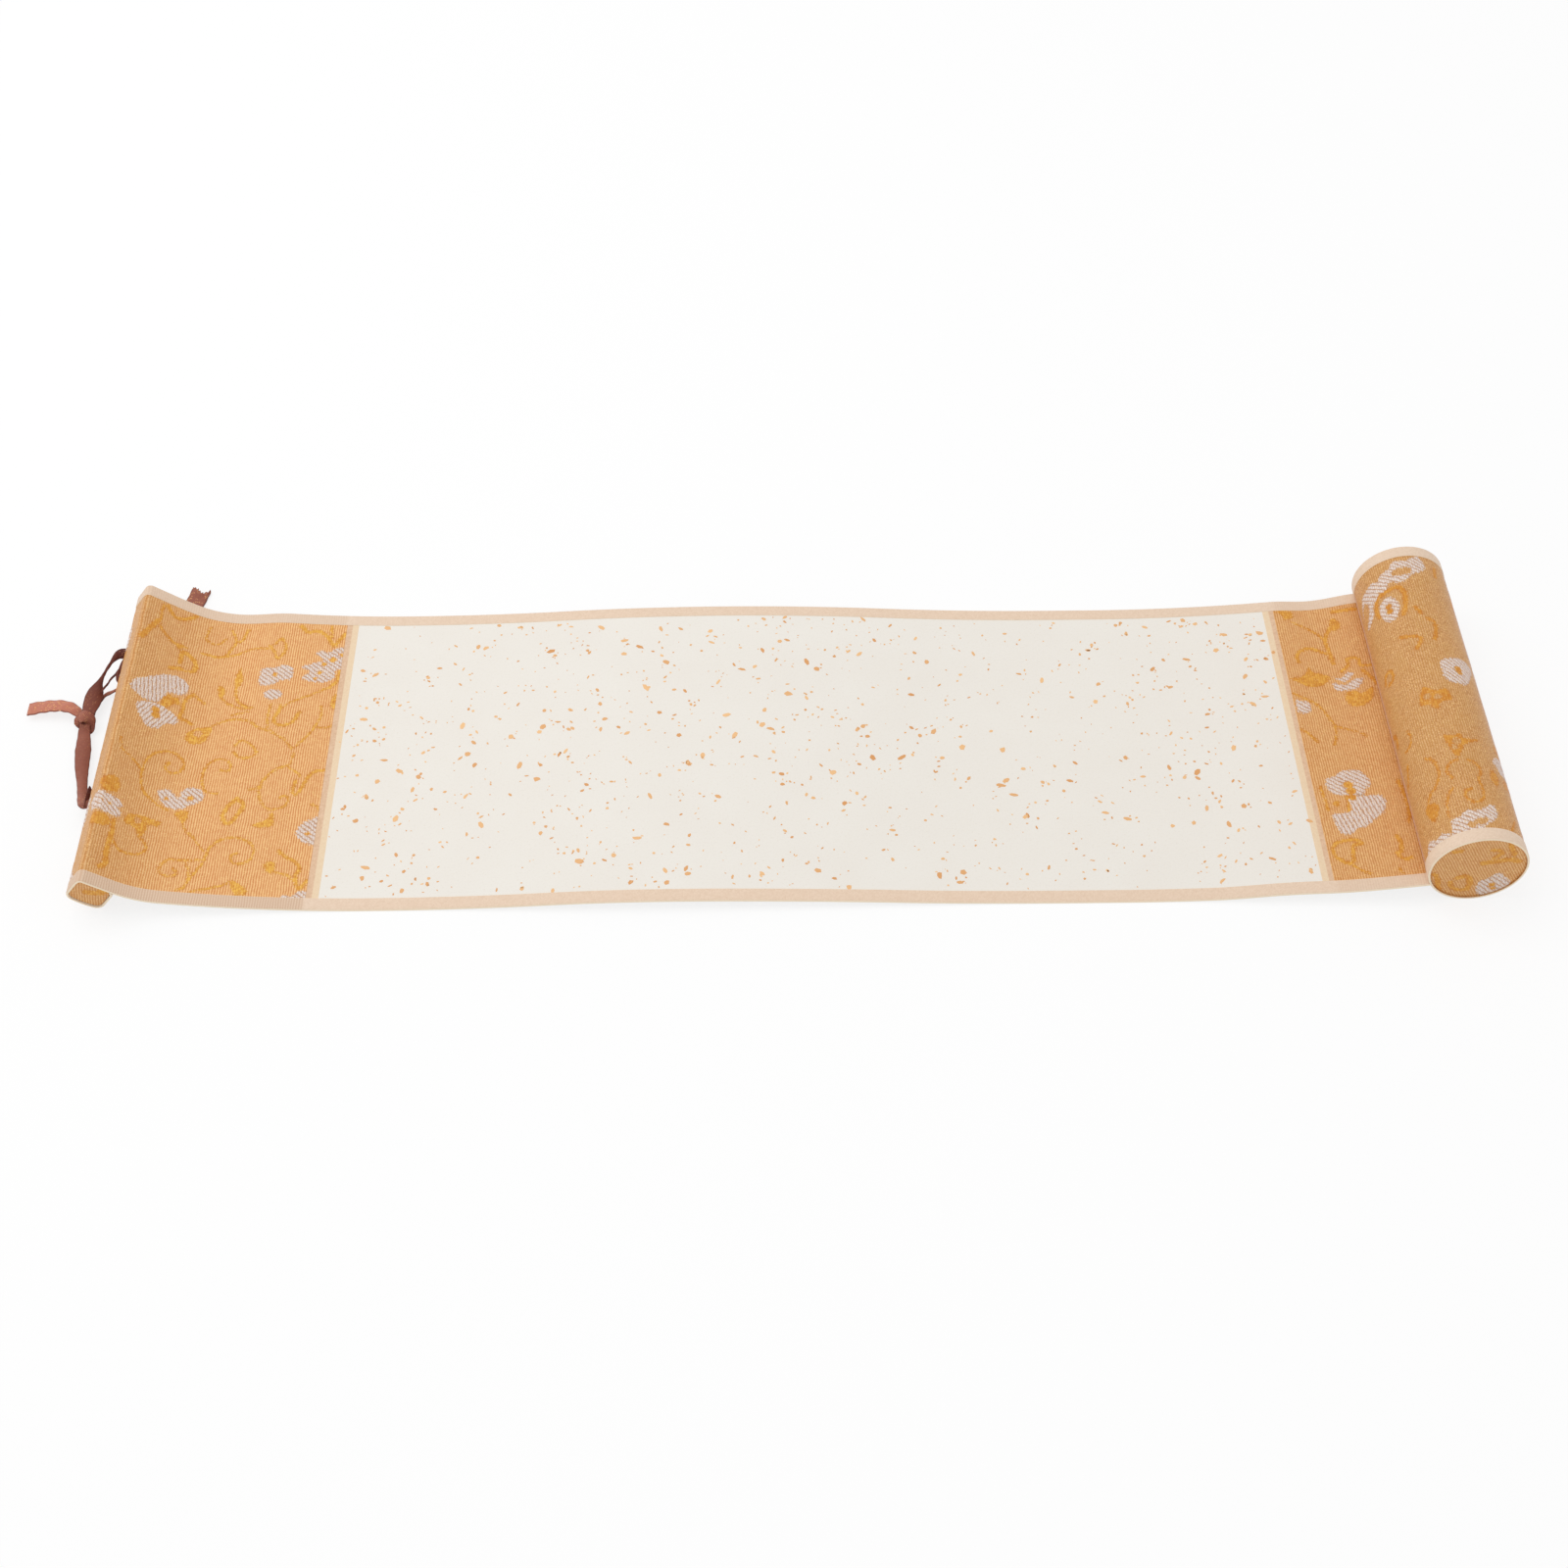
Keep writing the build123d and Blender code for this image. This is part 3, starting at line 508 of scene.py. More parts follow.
TAIL_PATTERN = (TAIL_PETALS, TAIL_BUDS, TAIL_LEAVES, TAIL_GAPS, TAIL_VINES)
ROLLER_PATTERN = (ROLLER_PETALS, ROLLER_BUDS, ROLLER_LEAVES, ROLLER_GAPS, ROLLER_VINES)
DISC_PATTERN = (DISC_PETALS, DISC_BUDS, [], [], DISC_VINES)
STAVE_END_PATTERN = ([], [], [], [], STAVE_END_VINES)

# How the outlines turn into yarn: the depth of places far from any figure, the share of a
# vine's width on each side of its line, how far round a figure its depth is worked out,
# how high the yarns stand and over what width their edges rise.
FAR_OUTSIDE = -9.0
VINE_SHARE = 0.52
FIGURE_REACH = 2.0
CURVE_STEPS = (0.0, 0.25, 0.5, 0.75)
PALE_RELIEF = 0.07
GOLD_RELIEF = 0.05
RELIEF_EDGE = 0.6


def smooth_line(points, closed):
    """A smooth curve through given points."""
    points = np.array(points, float)
    if closed:
        ring = np.vstack([points[-1:], points, points[:2]])
    else:
        ring = np.vstack([2 * points[:1] - points[1:2], points, 2 * points[-1:] - points[-2:-1]])
    curve = []
    for before, start, end, after in zip(ring[:-3], ring[1:-2], ring[2:-1], ring[3:]):
        for step in CURVE_STEPS:
            bend = 2 * before - 5 * start + 4 * end - after
            swing = 3 * start - before - 3 * end + after
            curve.append(start + ((end - before) * step + bend * step**2 + swing * step**3) / 2)
    curve.append(points[0] if closed else points[-1])
    return np.array(curve)


def distance_to(places, curve):
    """The distance of each place from a curve's nearest point."""
    nearest = np.full(len(places), np.inf)
    for start, end in zip(curve[:-1], curve[1:]):
        along = end - start
        share = np.clip((places - start) @ along / max(along @ along, 1e-9), 0, 1)
        gap = places - start - share[:, None] * along
        nearest = np.minimum(nearest, np.hypot(gap[:, 0], gap[:, 1]))
    return nearest


def is_inside(places, curve):
    """Which places lie inside a closed curve."""
    inside = np.zeros(len(places), bool)
    for start, end in zip(curve[:-1], curve[1:]):
        if start[1] != end[1]:
            between = (places[:, 1] > start[1]) != (places[:, 1] > end[1])
            share = (places[:, 1] - start[1]) / (end[1] - start[1])
            inside ^= between & (places[:, 0] < start[0] + share * (end[0] - start[0]))
    return inside


def bare_cloth(flat):
    """The pale and gold depths and the hatch line of cloth without a pattern."""
    return np.full(len(flat), FAR_OUTSIDE), np.full(len(flat), FAR_OUTSIDE), np.zeros(len(flat))


def woven_pattern(flat, pattern, shift=0.0):
    """How far inside the pale and the gold yarn each flat place is, and its hatch line."""
    petals, buds, leaves, gaps, vines = pattern
    places = flat - (shift, 0.0)
    pale, gold, hatch = bare_cloth(flat)
    shapes = [(smooth_line(outline, True), angle, None) for angle, outline in petals]
    shapes += [(smooth_line(outline, True), None, None) for outline in leaves]
    shapes += [(smooth_line(points, False), None, width) for width, points in vines]
    for curve, angle, width in shapes:
        low = curve.min(axis=0) - FIGURE_REACH
        high = curve.max(axis=0) + FIGURE_REACH
        near = np.flatnonzero(((places > low) & (places < high)).all(axis=1))
        if not len(near):
            continue
        depth = -distance_to(places[near], curve)
        if width:
            depth += width * VINE_SHARE
        else:
            depth[is_inside(places[near], curve)] *= -1
        if angle is None:
            gold[near] = np.maximum(gold[near], depth)
        else:
            nearest = depth > pale[near]
            line = np.array([math.cos(math.radians(angle)), math.sin(math.radians(angle))])
            hatch[near[nearest]] = places[near[nearest]] @ line
            pale[near] = np.maximum(pale[near], depth)
    for spots, is_gold in ((gaps, False), (buds, True)):
        for x, y, radius in spots:
            away = np.hypot(*(places - (x, y)).T) - radius
            pale = np.minimum(pale, away)
            gold = np.maximum(gold, -away) if is_gold else np.minimum(gold, away)
    return pale, gold, hatch


def weave_cloth(mesh, patterns, worn_and_shade):
    """Writes shifted patterns into a flat mesh and raises their yarns a little."""
    places = flat_places(mesh)
    flat = places[:, :2] + (0.0, HALF_WIDTH)
    pale, gold, hatch = bare_cloth(flat)
    for pattern, shift in patterns:
        more_pale, more_gold, more_hatch = woven_pattern(flat, pattern, shift)
        hatch = np.where(more_pale > pale, more_hatch, hatch)
        pale = np.maximum(pale, more_pale)
        gold = np.maximum(gold, more_gold)
    finish_weave(mesh, places, pale, gold, hatch, worn_and_shade)


def finish_weave(mesh, places, pale, gold, hatch, worn_and_shade):
    """Keeps the pattern on the mesh as attributes and as relief."""
    for name, values in (("pale", pale), ("gold", gold), ("worn_and_shade", worn_and_shade)):
        keep_values(mesh, f"{name}_yarn", values)
    keep_values(mesh, "hatch_line", hatch)
    rises = [
        np.clip(0.5 + depth / RELIEF_EDGE, 0, 1) * relief
        for depth, relief in ((pale, PALE_RELIEF), (gold, GOLD_RELIEF))
    ]
    places[:, 2] += np.maximum(*rises)
    move_to(mesh, places)


class Signal:
    """What a node puts out, so that sums on it read as sums."""

    def __init__(self, node, output=0):
        self.tree = node.id_data
        self.socket = node.outputs[output]

    def __add__(self, other):
        return maths("ADD", self, other)

    def __sub__(self, other):
        return maths("SUBTRACT", self, other)

    def __mul__(self, other):
        return maths("MULTIPLY", self, other)

    def __truediv__(self, other):
        return maths("DIVIDE", self, other)


def add_node(tree, kind, values=None, **settings):
    """A node with its settings made and its sockets set or linked."""
    node = tree.nodes.new(kind)
    for name, value in settings.items():
        setattr(node, name, value)
    for socket, value in (values or {}).items():
        if isinstance(value, Signal):
            tree.links.new(value.socket, node.inputs[socket])
        else:
            node.inputs[socket].default_value = value
    return node


def maths(operation, first, *others):
    """The result of one sum on a signal and other signals or numbers."""
    sockets = dict(enumerate((first, *others)))
    return Signal(add_node(first.tree, "ShaderNodeMath", sockets, operation=operation))


def blend(share, *colours):
    """A colour between two others, each a signal or the numbers of a colour chart."""
    low, high = (colour if isinstance(colour, Signal) else linear(*colour) for colour in colours)
    sockets = {0: share, 6: low, 7: high}
    return Signal(add_node(share.tree, "ShaderNodeMix", sockets, data_type="RGBA"), 2)


def step_between(value, low, high, lowest=0.0, highest=1.0):
    """A soft step from one number to another as a value passes from low to high."""
    sockets = {0: value, 1: low, 2: high, 3: lowest, 4: highest}
    return Signal(add_node(value.tree, "ShaderNodeMapRange", sockets, interpolation_type="SMOOTHSTEP"))


def wave(value):
    """A wave from 0 to 1 with its crests on whole numbers."""
    return maths("COSINE", value * (2 * math.pi)) * 0.5 + 0.5


def along_and_across(places):
    """The two numbers of flat places."""
    node = add_node(places.tree, "ShaderNodeSeparateXYZ", {0: places})
    return Signal(node, 0), Signal(node, 1)


def cell_value(x, y):
    """A random number from 0 to 1 for each whole place."""
    cell = Signal(add_node(x.tree, "ShaderNodeCombineXYZ", {0: x, 1: y}))
    return Signal(add_node(x.tree, "ShaderNodeTexWhiteNoise", {"Vector": cell}, noise_dimensions="2D"))


def specks(places, length, width):
    """A random number from 0 to 1 for each small oblong of cloth."""
    along, across = along_and_across(places)
    return cell_value(maths("FLOOR", along / length), maths("FLOOR", across / width))


def cloudy(places, scale, detail=2.0):
    """Soft noise from 0 to 1 at places in millimetres."""
    sockets = {"Vector": places, "Scale": scale, "Detail": detail}
    return Signal(add_node(places.tree, "ShaderNodeTexNoise", sockets))


def new_group(name, numbers, outputs):
    """A shader node group that takes places and numbers, and what it takes."""
    group = bpy.data.node_groups.new(name, "ShaderNodeTree")
    group.interface.new_socket("Places", in_out="INPUT", socket_type="NodeSocketVector")
    for socket, value in numbers.items():
        made = group.interface.new_socket(socket, in_out="INPUT", socket_type="NodeSocketFloat")
        made.default_value = value
    for socket in outputs:
        group.interface.new_socket(socket, in_out="OUTPUT", socket_type="NodeSocketFloat")
    start = group.nodes.new("NodeGroupInput")
    return group, [Signal(start, socket) for socket in ("Places", *numbers)]


def finish_group(group, values):
    """Feeds the group's results into its named outputs."""
    add_node(group, "NodeGroupOutput", values)
    return group


def use_group(group, places, numbers=()):
    """What a node group puts out at the places, with its numbers set."""
    sockets = {"Places": places, **dict(numbers)}
    node = add_node(places.tree, "ShaderNodeGroup", sockets, node_tree=group)
    return [Signal(node, output) for output in range(len(node.outputs))]


# The threads, in millimetres along and across: the pitch of the brocade's ribs, the
# stitches that its figures' edges follow, its finest specks, the pitch of the pale yarn's
# hatching, the ribbon's ribs with the width of its painted glints, and how often the
# wood's grain turns in a metre.
RIB_PITCH = 0.76
STITCH = (0.38, 0.42)
SPECK = (0.26, 0.3)
HATCH_PITCH = 1.3
RIBBON_RIB = 0.42
RIBBON_PAINTED_GLINT = 0.3
WOOD_GRAIN = (900.0, 30.0, 900.0)


def ribbed_weave_group():
    """Ribs across the cloth, each a row of short floats of yarn with its own stagger."""
    numbers = {"Pitch": RIB_PITCH, "Float Length": 0.8}
    group, (places, pitch, float_length) = new_group("ribbed_weave", numbers, ("Height", "Tone"))
    along, across = along_and_across(places)
    ribs = (along + (cloudy(places, 0.2) * 0.6 - 0.3)) / pitch
    column = maths("ROUND", ribs)
    rows = across / float_length + cell_value(column, 0.5)
    height = wave(ribs) * (wave(rows) * 0.25 + 0.75)
    return finish_group(group, {"Height": height, "Tone": cell_value(column, maths("ROUND", rows))})


def yarn_edge_group():
    """Where a woven figure shows: its edge steps from thread to thread."""
    group, (places, depth) = new_group("yarn_edge", {"Depth": 0.0}, ("Share",))
    jitter = specks(places, *STITCH) * 0.76 - 0.4
    return finish_group(group, {"Share": step_between(depth + jitter, -0.15, 0.15)})


def plain_weave_group():
    """Fine threads over and under each other, with uneven slubs."""
    group, (places, pitch) = new_group("plain_weave", {"Pitch": 0.35}, ("Height", "Tone"))
    along, across = (part / pitch for part in along_and_across(places))
    threads = cell_value(maths("ROUND", along), maths("ROUND", across))
    tone = threads * 0.4 + cloudy(places, 0.8) * 0.6
    return finish_group(group, {"Height": wave(along) * wave(across), "Tone": tone})


ribbed_weave = ribbed_weave_group()
yarn_edge = yarn_edge_group()
plain_weave = plain_weave_group()


def new_material(name, roughness, sheen=0.0, specular=0.5):
    """A material, and its places from the flat map in millimetres."""
    material = bpy.data.materials.new(name)
    material.use_nodes = True
    tree = material.node_tree
    for socket, value in (
        ("Roughness", roughness),
        ("Specular IOR Level", specular),
        ("Sheen Weight", sheen),
        ("Sheen Roughness", 0.15),
        ("Sheen Tint", linear(244, 238, 255)),
    ):
        tree.nodes["Principled BSDF"].inputs[socket].default_value = value
    return material, Signal(add_node(tree, "ShaderNodeUVMap", uv_map="flat"))


def finish_surface(material, colour, height):
    """Feeds a colour and a height in millimetres into the material's shader."""
    tree = material.node_tree
    bump = add_node(tree, "ShaderNodeBump", {"Height": height, "Distance": MM, "Strength": 1.0})
    for part, socket in ((colour.socket, "Base Color"), (bump.outputs[0], "Normal")):
        tree.links.new(part, tree.nodes["Principled BSDF"].inputs[socket])
    return material


def stored(material, name):
    """A number that the mesh keeps for each vertex."""
    return Signal(add_node(material.node_tree, "ShaderNodeAttribute", attribute_name=name), "Fac")


def brocade_material():
    """Peach ribbed ground with leaves in gold yarn and flowers in pale yarn."""
    material, places = new_material("silk_brocade", 0.5, sheen=0.8, specular=0.3)
    ribs, tone = use_group(ribbed_weave, places)
    speck = specks(places, *SPECK)
    clouds = cloudy(places, 0.12)
    threads = tone * 0.2 + clouds * 0.14 + step_between(ribs, 0.1, 0.75) * 0.66
    ground = blend(threads, (204, 122, 58), (255, 208, 144))
    # The rubbed colour, and the darker gold where worn, are partly worn yarn and partly painted shade: they
    # darken the stave's face, the roller's wrap, the cloth by the crease and the rods' end patches.
    rubbed_and_shaded = blend(speck, (180, 118, 52), (213, 153, 84))
    rubbed_and_shaded = blend(step_between(clouds, 0.35, 0.65, 0.0, 0.5), rubbed_and_shaded, (198, 142, 72))
    rubbed_and_shaded = blend(ribs * (speck * 0.55 + tone * 0.2), rubbed_and_shaded, (248, 212, 164))
    worn_and_shade = stored(material, "worn_and_shade_yarn")
    colour = blend(worn_and_shade, ground, rubbed_and_shaded)

    gold_depth = stored(material, "gold_yarn")
    gold = blend(tone * 0.45 + speck * 0.25 + ribs * 0.3, (196, 110, 16), (255, 204, 92))
    gold = blend(worn_and_shade * 0.5, gold, (192, 108, 14))
    gold = blend(step_between(gold_depth, -0.1, 0.35, 0.4, 0.0), gold, (178, 96, 34))
    colour = blend(use_group(yarn_edge, places, {"Depth": gold_depth})[0], colour, gold)

    bent = cloudy(places, 0.5) * 0.9 + stored(material, "hatch_line")
    stripe = step_between(wave(bent / HATCH_PITCH) + (speck * 0.5 - 0.25), 0.02, 0.42)
    pale = blend(ribs * 0.6 + speck * 0.4, (206, 176, 156), (248, 238, 232))
    pale = blend(stripe, (196, 148, 112), pale)
    pale_share = use_group(yarn_edge, places, {"Depth": stored(material, "pale_yarn")})[0]
    colour = blend(pale_share, colour, pale)

    # Scattered bright specks: painted glints of the gold thread.
    colour = blend(step_between(speck, 0.955, 0.975) * 0.5, colour, (252, 214, 140))
    height = ribs * (worn_and_shade * -0.02 + 0.05) + stripe * pale_share * 0.05
    return finish_surface(material, colour, height)


def paper_material(name, finish, clouds, fibres, shown, colours, relief):
    """Paper with faint clouds and fibres."""
    material, places = new_material(name, **finish)
    fibre = cloudy(places, *fibres)
    colour = blend(cloudy(places, *clouds), *colours[:2])
    colour = blend(step_between(fibre, *shown), colour, colours[2])
    return finish_surface(material, colour, fibre * relief)


def flake_material():
    """Sprinkled gold flakes, each of its own tone."""
    material, _ = new_material("gold_flake", 0.45)
    tone = stored(material, "tone")
    return finish_surface(material, blend(tone, (220, 154, 90), (246, 198, 142)), tone * 0.01)


def strip_material():
    """Peach-beige silk of the edge strips, with a paler line where it is folded."""
    material, places = new_material("edge_silk", 0.55, sheen=0.2, specular=0.35)
    threads, tone = use_group(plain_weave, places, {"Pitch": 0.4})
    below, _ = use_group(ribbed_weave, places, {"Pitch": RIB_PITCH, "Float Length": 0.9})
    through = stored(material, "cloth_below")
    shade = blend(below, (210, 174, 144), (230, 203, 177))
    colour = blend(through, blend(tone, (226, 198, 172), (243, 219, 196)), shade)
    _, across = along_and_across(places)
    rim = step_between(across, 4.1, 4.3)
    inner_edge = step_between(across, 0.1, 0.3, 0.6, 0.0)
    colour = blend(maths("MAXIMUM", rim, inner_edge), colour, (250, 232, 204))
    return finish_surface(material, colour, threads * 0.015 + below * (through * 0.05))


def plain_silk_material(name, low, high, pitch, relief):
    """A narrow strip of plainly woven silk."""
    material, places = new_material(name, 0.55, sheen=0.2, specular=0.35)
    threads, tone = use_group(plain_weave, places, {"Pitch": pitch})
    return finish_surface(material, blend(tone, low, high), threads * relief)


def wood_material():
    """Plain sanded wood for the rods, with its grain along them."""
    material, _ = new_material("rod_wood", 0.6, specular=0.3)
    tree = material.node_tree
    tree.nodes.remove(tree.nodes["UV Map"])
    where = Signal(add_node(tree, "ShaderNodeTexCoord"), "Object")
    stretched = Signal(add_node(tree, "ShaderNodeMapping", {0: where, 3: WOOD_GRAIN}))
    grain = cloudy(stretched, 1.0, 4.0)
    return finish_surface(material, blend(grain, (176, 134, 88), (214, 178, 130)), grain * 0.05)


def ribbon_material():
    """Brown satin ribbon with fine cross ribs, painted gold glints, and painted shade that darkens it and
    its edges.
    """
    material, places = new_material("satin_ribbon", 0.5, specular=0.15)
    along, across = along_and_across(places)
    ribs = wave(along / RIBBON_RIB)
    # The shade is painted shade: the one ribbon darker where it lies in shadow and paler where it is lit.
    shade = stored(material, "shade")
    low = blend(shade, (56, 14, 10), (190, 110, 88))
    high = blend(shade, (84, 28, 22), (220, 146, 122))
    colour = blend(cloudy(places, 0.5) * 0.4, blend(ribs, low, high), high)
    # The edges are painted darker as shade.
    edge = step_between(maths("ABSOLUTE", across), 2.6, 3.2, 0.0, 0.5)
    colour = blend(edge, colour, (96, 48, 48))
    # Gold specks: painted glints, as strong as the mesh's glint share.
    painted_glint = step_between(specks(places, RIBBON_RIB, RIBBON_PAINTED_GLINT), 0.9, 0.95)
    colour = blend(painted_glint * stored(material, "painted_glints"), colour, (236, 178, 120))
    return finish_surface(material, colour, ribs * 0.05)


brocade = brocade_material()
paper = paper_material(
    "sized_paper",
    {"roughness": 0.62, "specular": 0.3},
    clouds=(0.05, 3.0),
    fibres=(1.6, 4.0),
    shown=(0.52, 0.75, 0.0, 0.3),
    colours=[(243, 239, 231), (239, 233, 224), (228, 219, 205)],
    relief=0.02,
)
flake = flake_material()
strip_silk = strip_material()
cream_silk = plain_silk_material("cream_silk", (234, 204, 168), (244, 222, 190), 0.3, 0.015)
band_silk = plain_silk_material("band_silk", (212, 172, 136), (240, 206, 174), 0.55, 0.04)
backing_paper = paper_material(
    "backing_paper",
    {"roughness": 0.75, "specular": 0.25},
    clouds=(0.04, 2.0),
    fibres=(1.1, 5.0),
    shown=(0.5, 0.72, 0.0, 0.5),
    colours=[(238, 230, 214), (228, 218, 200), (214, 200, 178)],
    relief=0.05,
)
rod_wood = wood_material()
ribbon_satin = ribbon_material()

# The tie comes first: two lengths of flat ribbon, tied in one knot. Their routes run
# from the slits in the stave's wrap through the knot to the ends of the tails. A
# ribbon's mesh goes along it in millimetres and across it in shares of its width. It lies
# a hair over the table and ripples a little, and a torn end is notched near its middle.
RIBBON_WIDTH = 6.5
RIBBON_THICKNESS = 0.4
RIBBON_CLEARANCE = 0.05
RIBBON_RIPPLE = 0.12
RIBBON_STEP = 0.5
RIBBON_SHARE_STEP = 0.0625
HEADING_REACH = 0.6
TORN_REACH = 6.0
TORN_MIDDLE = 0.12
KNOT = (-223.4, 12.5, 3.1)
NEAR_ROUTE = [
    (-212.0, -24.6, 9.0), (-214.2, -24.9, 8.2), (-216.2, -23.5, 6.6), (-217.9, -18.6, 4.9),
    (-219.2, -12.9, 3.7), (-220.9, -5.9, 2.9), (-221.9, 1.2, 2.6), (-222.8, 7.0, 2.4), KNOT,
    (-222.6, 18.6, 1.5), (-221.4, 23.8, 1.2), (-218.4, 26.8, 1.5), (-213.4, 29.2, 1.1),
    (-208.0, 39.0, 0.7), (-201.5, 55.0, 0.5), (-197.8, 65.5, 0.5), (-196.3, 73.5, 0.9),
]
FAR_ROUTE = [
    (-212.2, 35.4, 9.6), (-214.6, 36.2, 9.9), (-216.9, 34.6, 8.6), (-218.8, 31.9, 7.2),
    (-220.3, 28.7, 6.0), (-221.4, 25.3, 5.0), (-222.1, 21.5, 4.2), (-222.9, 17.6, 3.3), KNOT,
    (-225.2, 15.4, 2.9), (-227.6, 18.0, 3.2), (-231.0, 19.6, 3.2), (-234.8, 20.0, 2.8),
    (-238.9, 19.9, 2.2), (-242.9, 19.4, 1.6),
]
KNOT_ROUTE = [
    (-224.4, 12.6, 0.8), (-225.5, 13.0, 1.6), (-225.4, 13.5, 3.6), (-224.0, 13.9, 4.7),
    (-222.3, 13.6, 4.6), (-221.2, 12.6, 3.4), (-221.1, 10.9, 2.0), (-221.7, 9.8, 1.3),
    (-222.5, 10.3, 0.8), (-223.2, 11.6, 0.7), (-223.9, 12.5, 1.2),
]

# Each station is (share of the way, width, lean, cup, shade, glints): the lean turns the ribbon's
# face from flat about its line, the cup is how far its middle stands over its edges, the shade is
# painted shade from dark to pale and the glints are how much painted glint of the gold shows.
NEAR_STATIONS = [
    (0.0, 2.4, 30, 0.2, 0.1, 0.2), (0.03, 2.8, 20, 0.6, 0.3, 0.4), (0.06, 3.6, 10, 1.0, 0.5, 0.6),
    (0.1, 3.0, 6, 1.0, 0.45, 0.1), (0.15, 3.0, 0, 0.7, 0.45, 0.0), (0.22, 4.2, -4, 0.7, 0.4, 0.05),
    (0.28, 4.8, -4, 0.7, 0.4, 0.1), (0.33, 3.9, 0, 0.6, 0.45, 0.1), (0.37, 3.2, 0, 0.4, 0.3, 0.2),
    (0.40, 3.6, 0, 0.2, 0.35, 0.2), (0.46, 2.4, 20, 0.4, 0.3, 0.0), (0.52, 1.6, 20, 0.3, 0.6, 0.2),
    (0.58, 2.0, 10, 0.3, 0.6, 0.3), (0.66, 5.0, 6, 0.2, 0.5, 0.3), (0.76, 6.5, 0, 0.0, 0.45, 0.5),
    (1.0, 6.5, 0, 0.2, 0.5, 0.8),
]
FAR_STATIONS = [
    (0.0, 3.4, 30, 0.4, 0.0, 0.3), (0.05, 3.2, 30, 0.7, 0.05, 0.4), (0.09, 1.8, 36, 0.4, 0.1, 0.2),
    (0.14, 0.8, 30, 0.1, 0.15, 0.0), (0.24, 0.8, 30, 0.1, 0.15, 0.0), (0.29, 2.0, 24, 0.4, 0.15, 0.0),
    (0.34, 4.4, 20, 0.9, 0.2, 0.05), (0.40, 5.4, 14, 0.9, 0.25, 0.15), (0.46, 4.8, 8, 0.7, 0.3, 0.2),
    (0.53, 3.4, 0, 0.3, 0.35, 0.2), (0.58, 2.4, 0, 0.3, 0.4, 0.1), (0.63, 2.6, -10, 0.4, 0.6, 0.4),
    (0.68, 4.0, -14, 0.5, 0.8, 0.6), (0.74, 5.2, -14, 0.5, 0.9, 0.8), (0.82, 5.8, -12, 0.4, 0.9, 1.0),
    (0.92, 5.8, -10, 0.2, 0.9, 1.0), (1.0, 5.9, -8, 0.1, 0.9, 0.8),
]
KNOT_STATIONS = [
    (0.0, 2.4, 0, 0.3, 0.3, 0.2), (0.14, 3.2, 0, 0.4, 0.45, 0.3), (0.3, 4.9, 0, 0.6, 0.55, 0.5),
    (0.45, 4.2, 0, 0.6, 0.4, 0.4), (0.6, 2.0, 0, 0.4, 0.25, 0.2), (0.75, 1.8, 0, 0.3, 0.3, 0.2),
    (1.0, 2.4, 0, 0.4, 0.2, 0.0),
]

# The thin strands beside the ribbons: their routes and stations.
SIDE_STRANDS = {
    "inner_strand": (
        [(-211.6, 35.4, 9.4), (-212.9, 33.4, 9.6), (-213.8, 30.4, 9.2), (-214.6, 27.6, 8.5),
         (-214.4, 25.2, 7.9), (-212.6, 23.6, 7.5)],
        [(0.0, 1.6, 30, 0.2, 0.1, 0.2), (0.4, 1.0, 30, 0.1, 0.15, 0.1), (1.0, 0.7, 20, 0.1, 0.2, 0.0)],
    ),
    "middle_strand": (
        [(-213.9, 30.2, 8.8), (-215.9, 28.3, 7.7), (-218.0, 25.8, 6.3), (-219.8, 23.2, 5.1)],
        [(0.0, 0.6, 20, 0.0, 0.1, 0.0), (1.0, 0.5, 20, 0.0, 0.15, 0.0)],
    ),
    # The slit strand is a bit of ribbon going into the slit, painted dark as shade.
    "shaded_slit_strand": (
        [(-215.2, -17.2, 7.0), (-214.5, -19.6, 7.8), (-214.3, -22.6, 8.0), (-214.6, -25.4, 7.2)],
        [(0.0, 0.8, 60, 0.1, 0.0, 0.0), (0.5, 2.2, 50, 0.2, 0.05, 0.1), (1.0, 1.8, 40, 0.2, 0.1, 0.2)],
    ),
}


def spline_line(route):
    """Points along the smooth line of a route, in metres."""
    curve = bpy.data.curves.new("route", "CURVE")
    curve.dimensions = "3D"
    spline = curve.splines.new("NURBS")
    spline.points.add(len(route) - 1)
    for point, place in zip(spline.points, route):
        point.co = (*(part * MM for part in place), 1.0)
    spline.order_u = 3
    spline.use_endpoint_u = True
    spline.resolution_u = 12
    holder = add_object("route", curve)
    mesh = bpy.data.meshes.new_from_object(holder)
    line = np.array([vertex.co[:] for vertex in mesh.vertices], float)
    bpy.data.objects.remove(holder)
    bpy.data.meshes.remove(mesh)
    return line


def unit_rows(rows):
    """Each row of an array at a length of 1."""
    return rows / np.linalg.norm(rows, axis=1)[:, None]


